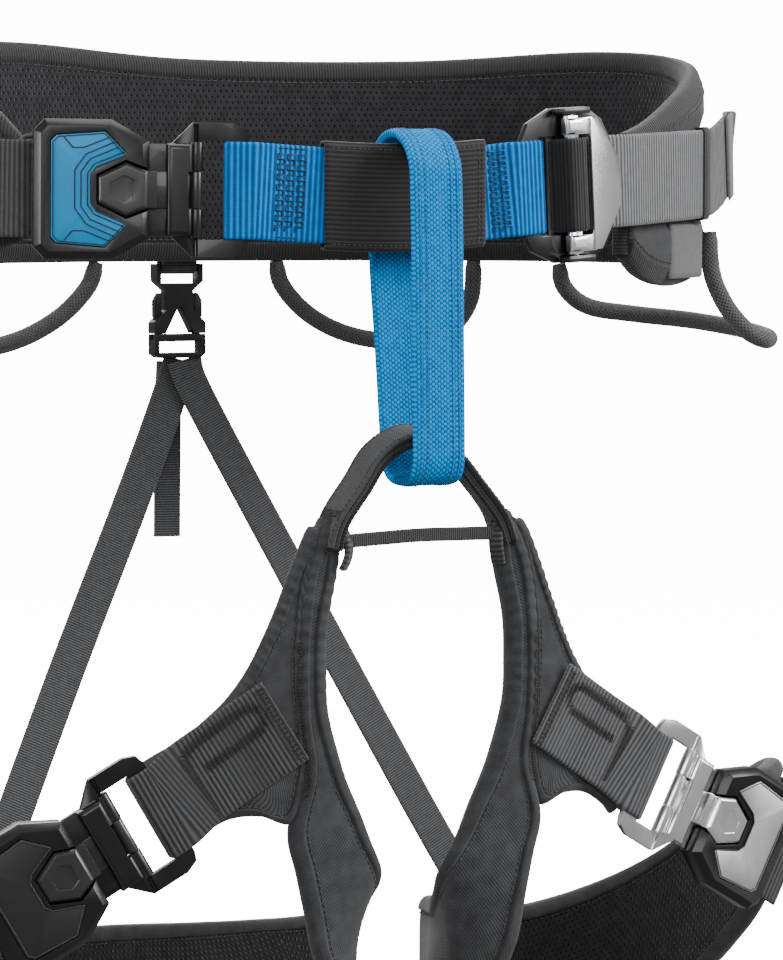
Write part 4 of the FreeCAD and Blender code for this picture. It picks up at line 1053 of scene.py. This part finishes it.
tie_in_thread("tie_in_tacks_right", [tie_in_tack(t, 17.5, 1.9, 2.2) for t in (-17.7, -16.2, -14.75, -13.3)],
              NAVY_THREAD, 0.42)
tie_in_thread("tie_in_outline_stitches", tie_in_dashes((-19.3, 17), (-19.3, -17))
              + tie_in_dashes((-19.3, 20.3), (-12.8, 20.3)) + tie_in_dashes((-19.3, -20.3), (-12.8, -20.3)),
              NAVY_THREAD, 0.3)
tie_in_thread("tie_in_tacks_left", [tie_in_tack(t, 19, 1.5, 2.0) for t in (12.4, 13.7, 15.0, 16.3)],
              NAVY_THREAD, 0.3)
tie_in_thread("tie_in_tacks_left_loops", [tie_in_tack(t, 18.6, 1.3, 2.3) for t in (12.9, 14.2, 15.5)],
              BLUE_THREAD, 0.45)

sleeve("tie_in_protector", -10.3, 11.3, 25.0, -4.2, 4.2, 1.3, PROTECTOR, "protector", ["tie_in_protector"],
       turned=True)
lines = []
for t_edge in (10.1, 10.6):
    z = np.arange(-22.5, 22.6, 1.0)
    lines += dashes(np.array([ring(t_edge, 4.2, rise(t_edge) + k) for k in z]), ring_out(t_edge))
for v in (-22, 22):
    t = np.linspace(-9.6, 10.6, 60)
    lines += dashes(ring(t, 4.02, rise(t) + v), ring_out(t))
thread("protector_stitches", lines, GREY_THREAD, ROOT, "protector")
sleeve("strap_keeper", 62, 66, 23.3, -2.3, 5.0, 0.9, BLACK_WEB, "binding", ["strap_keeper"], (1.6, 0.15))


# ---- belay loop, bridge and elastic ----
def belay_loop():
    foot = [(-16, 0), (-15.6, -7.5), (-12.8, -13.6), (-6.5, -16.2), (0, -16.6), (6.5, -16.2), (12.8, -13.6),
            (16.3, -7.5), (17.5, 0)]
    centre = arc((-128.6, 7.0), 21.2, 0, 180, 8) + [(-151.3, -30), (-152.2, -75)]
    centre += [(BRIDGE_Y + y, BRIDGE_Z - 4.4 + z) for y, z in foot] + [(-114.5, -75), (-108.2, -30)]
    line = catmull(centre, 8, closed=True)
    across = np.array([1.0, 0, 0])
    loop = Strap([((LOOP_X, y, z), across) for y, z in line], LOOP_HALF, 4.2, 0.6, 1.5, closed=True)
    loop.build("belay_loop", BLUE_LOOP, ROOT, "blue_webbing", ["belay_loop"], rib=(2.3, 0.14), count=30,
               edge=2.0)
    lines = []
    front = np.linspace(0, loop.length, int(loop.length / 1.0))
    out_sign = np.sign(loop.at(np.array([loop.length * 0.3]), 0, 0)[1][0, 1] * -1) or 1
    for v in (-9.6, -6.4, 6.4, 9.6):
        p, n = loop.at(front, v, 2.12 * out_sign)
        lines += dashes(p, n * out_sign, 2.4, 0.8, 0.3)
    thread("belay_loop_stitches", lines, BLUE_THREAD, ROOT, "blue_webbing", 0.3)


belay_loop()

across_bridge = unit(np.array([0, 0.97, 0.24]))
BRIDGE_ARM = [(17.5, 1, 7.2), (30, 3.5, 22), (41, 4.5, 36.5), (46, 5.5, 50)]
BRIDGE_LINE = [(-x, y, fall) for x, y, fall in BRIDGE_ARM[::-1]] + [(0, 0, 0)] + BRIDGE_ARM
bridge_points = catmull([(x, BRIDGE_Y - y, BRIDGE_Z - fall) for x, y, fall in BRIDGE_LINE], 12)
bridge = Strap([(p, across_bridge) for p in bridge_points], BRIDGE_HALF, 4.7, 0.6, 1.0)
bridge_up = facing(bridge.n[len(bridge.n) // 2], UP)


def bridge_layer(name, low, high, half, material, slot, hides=(), rib=(0, 0)):
    """One layer of the bridge's stack, between two heights over its middle."""
    bridge.thick = high - low
    bridge.build(name, material, LEGS, slot, hides, rib=rib, count=18, edge=0.6, half=half,
                 lift=(low + high) / 2 * bridge_up)


bridge_layer("bridge_webbing", -3.4, -1.35, BRIDGE_HALF - 0.5, BLACK_WEB, "cover_fabric",
             ["bridge_webbing"])
bridge_layer("bridge_middle_layer", -1.3, 0.15, BRIDGE_HALF - 0.9, SMOOTH_WEB, "cover_fabric")
bridge_layer("bridge_upper_layer", 0.2, 1.55, BRIDGE_HALF - 0.5, BLACK_WEB, "cover_fabric")
bridge_layer("bridge_cover", 1.6, 3.4, BRIDGE_HALF, SMOOTH_WEB, "grey_webbing", ["bridge_cover"],
             (2.5, 0.1))
lines = []
for v in (-7.2, 7.2):
    p, n = bridge.at(np.arange(1.5, bridge.length - 1.5, 0.8), v, 3.45 * bridge_up)
    lines += dashes(p, n * bridge_up, 2.6)
for u0 in (15.5, bridge.length - 18.5):
    lines.append(zigzag(lambda u, v: bridge.at(u0 + v, u - 8, 3.5 * bridge_up), 16, 1.6, 0.9))
thread("bridge_stitches", lines, DARK_THREAD, LEGS, "grey_webbing")

elastic_line = catmull([(-41.5, -146.5, -158.5), (-35.6, -147, -157.5), (-18, -146.5, -156.8),
                        (0, -146.5, -156.2), (18, -146.5, -156.4), (35.6, -147, -156.6),
                        (41.5, -146.5, -157.0)], 10)
Strap([(p, UP) for p in elastic_line], 3.2, 1.8, 0.4, 0.8).build(
    "spreader_elastic", ELASTIC, LEGS, "elastic", ["spreader_elastic"], rib=(1.1, 0.15), count=12, edge=0.8)

for tab_name, x0, side_x in (("right", -37.6, -1), ("left", 38.2, 1)):
    tab_line = [(x0 + side_x * 3.5, -143.4, -149), (x0 + side_x * 1.2, -146.6, -154), (x0, -148.2, -160),
                (x0 + side_x * 0.8, -148.0, -166), (x0 + side_x * 2.4, -146.4, -170.5)]
    tab_wide = unit(np.array([0.75, -0.66 * side_x, 0.0]))
    Strap([(p, tab_wide) for p in catmull(tab_line, 10)], 3.4, 2.6, 0.4, 1.5).build(
        f"elastic_tab_{tab_name}", DARK_WEB, LEGS, "grey_webbing", rib=(1.6, 0.12), count=14, edge=1.2)


# ---- leg loops ----
def rails(form, edges, steps, wraps=False):
    """Panel between the edges' rails. If it wraps, its rows lean WRAP_SHARE of the way to the round."""
    pairs = catmull([[*high, *low] for high, low in edges], steps)
    made = []
    for s, z in ((pairs[:, 2], pairs[:, 3]), (pairs[:, 0], pairs[:, 1])):
        made += [form(s, z, 0), form(s, z, 1) - form(s, z, 0)]
    low, low_n, high, high_n = made

    def follow(x, out):
        s, z = (pairs[:, 2 + k, None] * (1 - x) + pairs[:, k, None] * x for k in (0, 1))
        return form(s, z, out)

    return Panel(low, high, low_n, high_n, 0.02, follow if wraps else None)


NECK_TOP = [((18.5, -147.5), (22.5, -146.5)), ((17, -149), (24.5, -147.8))]
PANEL_TOP = [((26.2, -150), (23.2, -151.5)), ((28.6, -151), (24.6, -153))]
LOOK_PANEL = PANEL_TOP + [(high, (s - tuck, z)) for (high, (s, z)), tuck in zip(
    FRONT_PANEL, (4, 5, 5, 5, 5, 4.5, 3, 0, 0, 0, 0))]


def leg_outer(seed):
    def outer(along, across, edge):
        neck = np.exp(-((along - 45) / 60) ** 2)
        pucker = 0.35 * neck * np.sin(TWO_PI * along / 6.5 + 0.9 * noise(along, across, 30, seed + 2))
        return (0.2 - pillow(edge, 10, 3.0) - 2.4 * (1 - smoothstep(along / 14))
                + 0.3 * noise(along, across, 42, seed) + pucker * smoothstep((14 - edge) / 12))
    return outer


def leg_inner(along, across, edge):
    return (-8.4 + pillow(edge, 11, 3.0) + 1.8 * (1 - smoothstep(along / 14)) - 0.6 * smoothstep(edge / 25)
            + 0.2 * noise(along, across, 40, 21))


def leg_lining(along, across, edge):
    return leg_inner(along, across, edge) - 1.3


def panel_outer(along, across, edge):
    pucker = 0.45 * np.exp(-((along - 50) / 55) ** 2) * np.sin(TWO_PI * along / 5.5 + 1.3)
    return (-0.6 - pillow(edge, 6, 2.4) - 1.6 * (1 - smoothstep(along / 12))
            + 0.18 * noise(along, across, 26, 31) + pucker * smoothstep((7 - edge) / 6))


def panel_inner(along, across, edge):
    return -5.6 + pillow(edge, 7, 1.6) + 0.15 * noise(along, across, 30, 33)


def front_webbing_path(form, m):
    (s0, z0), (s1, z1) = PATCH_START, PATCH_END
    lifts = [PATCH_LIFT, PATCH_LIFT, PATCH_LIFT + 0.2, PATCH_LIFT + 1.2, PATCH_LIFT + 3.0]
    run = [form(s0 + (s1 - s0) * k / 5, z0 + (z1 - z0) * k / 5, lift) for k, lift in enumerate(lifts)]
    return [(p, m[:3, 1]) for p in run] + local_run(led_bar(FRAME_BAR_BOX, -1), m)


def side_webbing_path(form, m):
    run = local_run([(-56, -0.9)] + led_bar(SOCKET_BAR_BOX, 1, 1.2), m)
    points = np.array([form(s, z, PATCH_LIFT + 0.4) for s, z in SIDE_WEB])
    turns = unit(np.gradient(points, axis=0))
    for (s, _), p, along in zip(SIDE_WEB, points, turns):
        wide = unit(np.cross(form_out(form, s), along))
        run.append((p, wide if wide @ m[:3, 1] > 0 else -wide))
    return run


def leg_loop(name, side):
    form, m = leg_form(side), LEG_FRAMES[name]
    seed = 40 + side
    outer = leg_outer(seed)
    leg = rails(form, NECK_TOP + LEG_PAD, 9, True)
    made = leg.pad(f"{name}_leg_pad", outer, leg_inner, SHELL, LEGS, "shell_fabric",
                   [f"{name}_leg_shell", f"{name}_leg_foam"], count=26)
    leg.pad(f"{name}_leg_mesh", lambda a, c, e: leg_inner(a, c, e) - 0.1, leg_lining, LINER, LEGS, "liner",
            [f"{name}_leg_liner"], count=26)
    fine = rails(form, NECK_TOP + LEG_PAD, 26, True)
    for edge in ("high", "low"):
        fine.binding(f"{name}_leg_binding_{edge}", edge, 6.2, 1.3, outer, leg_lining, 1.7, ROLL, LEGS,
                     "binding")
    panel = rails(form, LOOK_PANEL, 12)
    made = panel.pad(f"{name}_leg_front_panel", panel_outer, panel_inner, SHELL, LEGS, "shell_fabric",
                     [f"{name}_leg_front_panel"], count=22)
    trims = rails(form, LOOK_PANEL, 24)
    for edge in ("high", "low"):
        trims.binding(f"{name}_leg_front_binding_{edge}", edge, 4.4, 1.0, panel_outer, panel_inner,
                      1.2, ROLL, LEGS, "binding")
    lines = []
    for part, face, edge, inset, sign in (
            (leg, outer, "high", 7.4, 1), (leg, outer, "low", 7.4, 1), (leg, leg_lining, "high", 7.5, -1),
            (leg, leg_lining, "low", 7.5, -1), (panel, panel_outer, "high", 5.4, 1),
            (panel, panel_outer, "low", 5.4, 1)):
        inside = np.minimum(inset, part.width * 0.3)
        across = inside if edge == "low" else part.width - inside
        p, n = part.line(edge, inside, face(part.s, across, inside) + 0.12 * sign)
        lines += dashes(p, n * sign, 3.0)
    thread(f"{name}_leg_stitches", lines, GREY_THREAD, LEGS, "binding")

    half = WEB_HALF - 0.8
    front = Strap(front_webbing_path(form, m), half, WEB_THICK, 0.5)
    # The left leg, on the key lamp's side, takes the lighter grey webbing, a lit copy of the right leg's
    # dark grey webbing: painted light.
    front.build(f"{name}_leg_front_webbing", MID_WEB_LIT_COPY if side > 0 else DARK_WEB, LEGS, "grey_webbing",
                [f"{name}_leg_front_webbing"], rib=(2.5, 0.2), count=24)
    out = facing(front.n[10], form_out(form, 60))
    tacks = [zigzag(lambda u, v: face_at(front, 3.2 + v, u - 19.5, out), 39, 1.6)]
    route = [(48.5, -16.5), (48.5, 9), (46, 14.0), (40, 15.2), (14, 15.2), (8.6, 13), (7, 8.6),
             (9.4, 4.4), (14, 2.8), (42, 2.8)]
    tacks.append(tack_along(front, [(u, -side * v) for u, v in route], 2.1, out))
    seam = []
    for k in np.flatnonzero((leg.s > 58) & (leg.s < 128)):
        seam.append(leg.line("low", 2.4, np.full(len(leg.s), 0.7))[0][k])
    seam, _, _ = spaced(np.array(seam), 0.75)
    way = unit(np.gradient(seam, axis=0))
    face = unit(form_out(form, 30))
    swing = 2.3 * np.where(np.arange(len(seam)) % 2, 1.0, -1.0)
    tacks.append((seam + np.cross(face, way) * swing[:, None] + face * 0.25, face))
    thread(f"{name}_leg_front_tacks", tacks, DARK_THREAD, LEGS, "grey_webbing", 0.3)

    web = Strap(side_webbing_path(form, m), half, WEB_THICK, 0.5)
    web.build(f"{name}_leg_side_webbing", DARK_WEB, LEGS, "grey_webbing", [f"{name}_leg_side_webbing"],
              rib=(2.5, 0.2), count=24)
    end = web.length
    out = facing(web.n[-5], form_out(form, 300))
    tacks = [zigzag(lambda u, v: face_at(web, end - inset + v, u - 17, out), 34, 1.6)
             for inset in (4, 30, 60)]
    for row in (-15, 15):
        tacks.append(zigzag(lambda u, v: face_at(web, end - 58 + u, row + v, out), 52, 1.4))
    thread(f"{name}_leg_side_tacks", tacks, DARK_THREAD, LEGS, "grey_webbing", 0.3)


for leg_name, leg_side in SIDES.items():
    leg_loop(leg_name, leg_side)


# ---- gear loops ----
for side_name, mirror in (("left", 1), ("right", -1)):
    for place, route in (("side", SIDE_LOOP), ("rear", REAR_LOOP)):
        t, out, z = np.array(route, float).T
        line, s, length = spaced(catmull(ring(mirror * t, out, z), 12), 0.8)
        ends = np.minimum(s, length - s)
        radius = 4.45 - 0.9 * (1 - smoothstep(ends / 6))
        braid = 0.14 * np.abs(np.sin(math.pi * s / 2.4))[:, None] * np.ones((1, 20))
        sweep(f"gear_loop_{side_name}_{place}", line, 20, radius[:, None] + braid, SLEEVE, ROOT,
              "gear_sleeve", [f"gear_loop_{side_name}_{place}"])


# ---- rear buckle, risers and tail ----
REACH, BAR_Z = 3.3, -36.5
tab = [(REAR_Y - 4.4, -14), (REAR_Y - 4.2, -22), (REAR_Y - REACH, -32)]
tab += arc((REAR_Y, BAR_Z), REACH, 180, 360, 6)
tab += [(REAR_Y + REACH, -32), (REAR_Y + 1.4, -27), (REAR_Y - 1.6, -21), (REAR_Y - 2.3, -14)]
Strap([((0, y, z), X_AXIS) for y, z in tab], 10, 1.6, 0.4, 0.8).build(
    "riser_tab", RISER_WEB, ROOT, "elastic", ["riser_tab"], rib=(1.5, 0.12), count=16)

for riser_name, side in SIDES.items():
    lane = 1.6 if side < 0 else -1.6
    run = [(0.5, REAR_Y + lane, -85), (4, REAR_Y + lane, -96), (16, 125 + lane, -122), (38, 117, -165),
           (76, 104, -240), (115, 88, -318), (140, 76.5, -368), (149, 74.5, -392)]
    line = catmull([(side * x + 3, y, z) for x, y, z in run], 14)
    form = leg_form(side)
    along = unit(line[66] - line[62])
    flat = unit(np.cross(along, form_out(form, 450)))
    level = X_AXIS * (1 if flat[0] > 0 else -1)
    share = np.minimum(np.arange(len(line)) / 28, 1)[:, None]
    wide = unit(level * (1 - share) + flat * share)
    riser = Strap(list(zip(line, wide)), RISER_HALF, 1.6, 0.8, 1.5)
    obj = riser.build(f"riser_strap_{riser_name}", RISER_WEB, None, "elastic",
                      [f"riser_strap_{riser_name}"], rib=(1.5, 0.12), count=16)
    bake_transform(obj)
    out = facing(riser.n[-3], form_out(form, 450))
    foot = riser.length
    thread(f"riser_tacks_{riser_name}", [
        zigzag(lambda u, v: face_at(riser, foot - 3 + v, u - 7.5, out), 15, 1.5)],
        GREY_THREAD, LEGS, "elastic")

tail_line = catmull([(-2, REAR_Y + 5.2, -86), (-3, REAR_Y + 5.4, -110), (-3.5, REAR_Y + 5.4, -145),
                     (-4, REAR_Y + 5, -178)], 12)
Strap([(p, X_AXIS) for p in tail_line], 7.5, 3.2, 0.6).build(
    "riser_tail", RISER_WEB, ROOT, "elastic", ["riser_tail"], rib=(1.5, 0.15), count=14, edge=1.6)

TAB_T, TAB_Z = (51, 69), (-41, -14)
t, z = np.linspace(*TAB_T, 40), np.linspace(*TAB_Z, 24)
edge_gap = np.minimum(np.minimum(ring_s(t) - ring_s(TAB_T[0]), ring_s(TAB_T[1]) - ring_s(t))[:, None],
                      np.minimum(z - TAB_Z[0], TAB_Z[1] - z)[None])
tab_out = -0.2 - pillow(edge_gap, 4, 1.4)
uv = np.stack(np.broadcast_arrays(ring_s(t)[:, None], z[None]), -1)
skin("belt_end_tab", ring(t[:, None], tab_out, z[None]),
     ring(t[:, None], np.full_like(tab_out, -2.3), z[None]), uv, TRIM,
     ROOT, "trim_fabric", ["belt_end_tab"])


# ---- buckles: the CAD solids, softened at their edges, with small details added ----
def dress(node, material, radius=0.35, segments=3):
    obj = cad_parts[node]
    weld = obj.modifiers.new("weld", "WELD")
    weld.merge_threshold = 0.02 * MM
    bevel = obj.modifiers.new("bevel", "BEVEL")
    bevel.width, bevel.segments = radius * MM, segments
    bevel.limit_method, bevel.angle_limit = "ANGLE", math.radians(28)
    bevel.use_clamp_overlap = True
    obj.data.materials.clear()
    obj.data.materials.append(material)
    obj.data.polygons.foreach_set("use_smooth", [True] * len(obj.data.polygons))


def inlay_lines(name, m, body, material, contours=True):
    """A border inside the inlay's edge, and dark contour lines in its two arms."""
    top = SOCKET_TOP + 0.30
    lines = []
    for k in (1.3, 4.2, 7.0) if contours else ():
        half = [(2 - 0.754 * k, 16 + 0.769 * k), (-12 - 0.62 * k, 10.2 + 0.8 * k),
                (-14.6 - k, 6.6 + 0.3 * k)]
        contour = half + [(x, -y) for x, y in half[::-1]]
        line, _, _ = spaced([(x, y, top) for x, y in contour], 0.5)
        lines.append((placed(line, m), m[:3, 2]))
    for sign in (1, -1) if contours else ():
        arm = [(-5.4, 23.5), (-17.6, 18.6), (-22.5, 18.6), (-26.5, 23.2)]
        line, _, _ = spaced([(x, y * sign, top) for x, y in arm], 0.5)
        lines.append((placed(line, m), m[:3, 2]))
    edge = np.array([(x * 0.95 - 0.6, y * 0.955) for x, y in INLAY])
    line, _, _ = spaced([(x, y, top) for x, y in [*edge, edge[0]]], 0.5)
    lines.append((placed(line, m), m[:3, 2]))
    thread(f"{name}_inlay_lines", lines, material, body, "dark_inlay", 0.36)


LOOKS = {"waist": (BLUE_PANEL, HEAD_METAL, BLACK_METAL, BLACK_METAL),
         "right_leg": (DARK_PANEL, HEAD_METAL, BLACK_METAL, BLACK_METAL),
         "left_leg": (SILVER_PANEL, POLISHED, POLISHED, POLISHED)}
for name, (panel, latch, ring_metal, pin) in LOOKS.items():
    for part, *look in (("base", BLACK_METAL, 0.5), ("cover", BLACK_METAL, 0.6), ("inlay", panel, 0.15, 2),
                        ("frame", ring_metal, 0.6), ("pin", pin, 0.2, 2), ("latch", latch, 0.4)):
        dress(f"{name}_buckle_{part}", *look)
inlay_lines("waist", WAIST, ROOT, NAVY_THREAD)
for name in SIDES:
    inlay_lines(f"{name}_leg", LEG_FRAMES[name], LEGS, BLACK_PLASTIC, contours=False)
dress("adjuster_base", BLACK_METAL, 0.6)
dress("adjuster_slider", POLISHED, 0.5)
for part, radius in (("body", 0.5), ("yoke", 0.5), ("left_prong", 0.35), ("right_prong", 0.35)):
    dress(f"rear_buckle_{part}", BLACK_PLASTIC, radius)
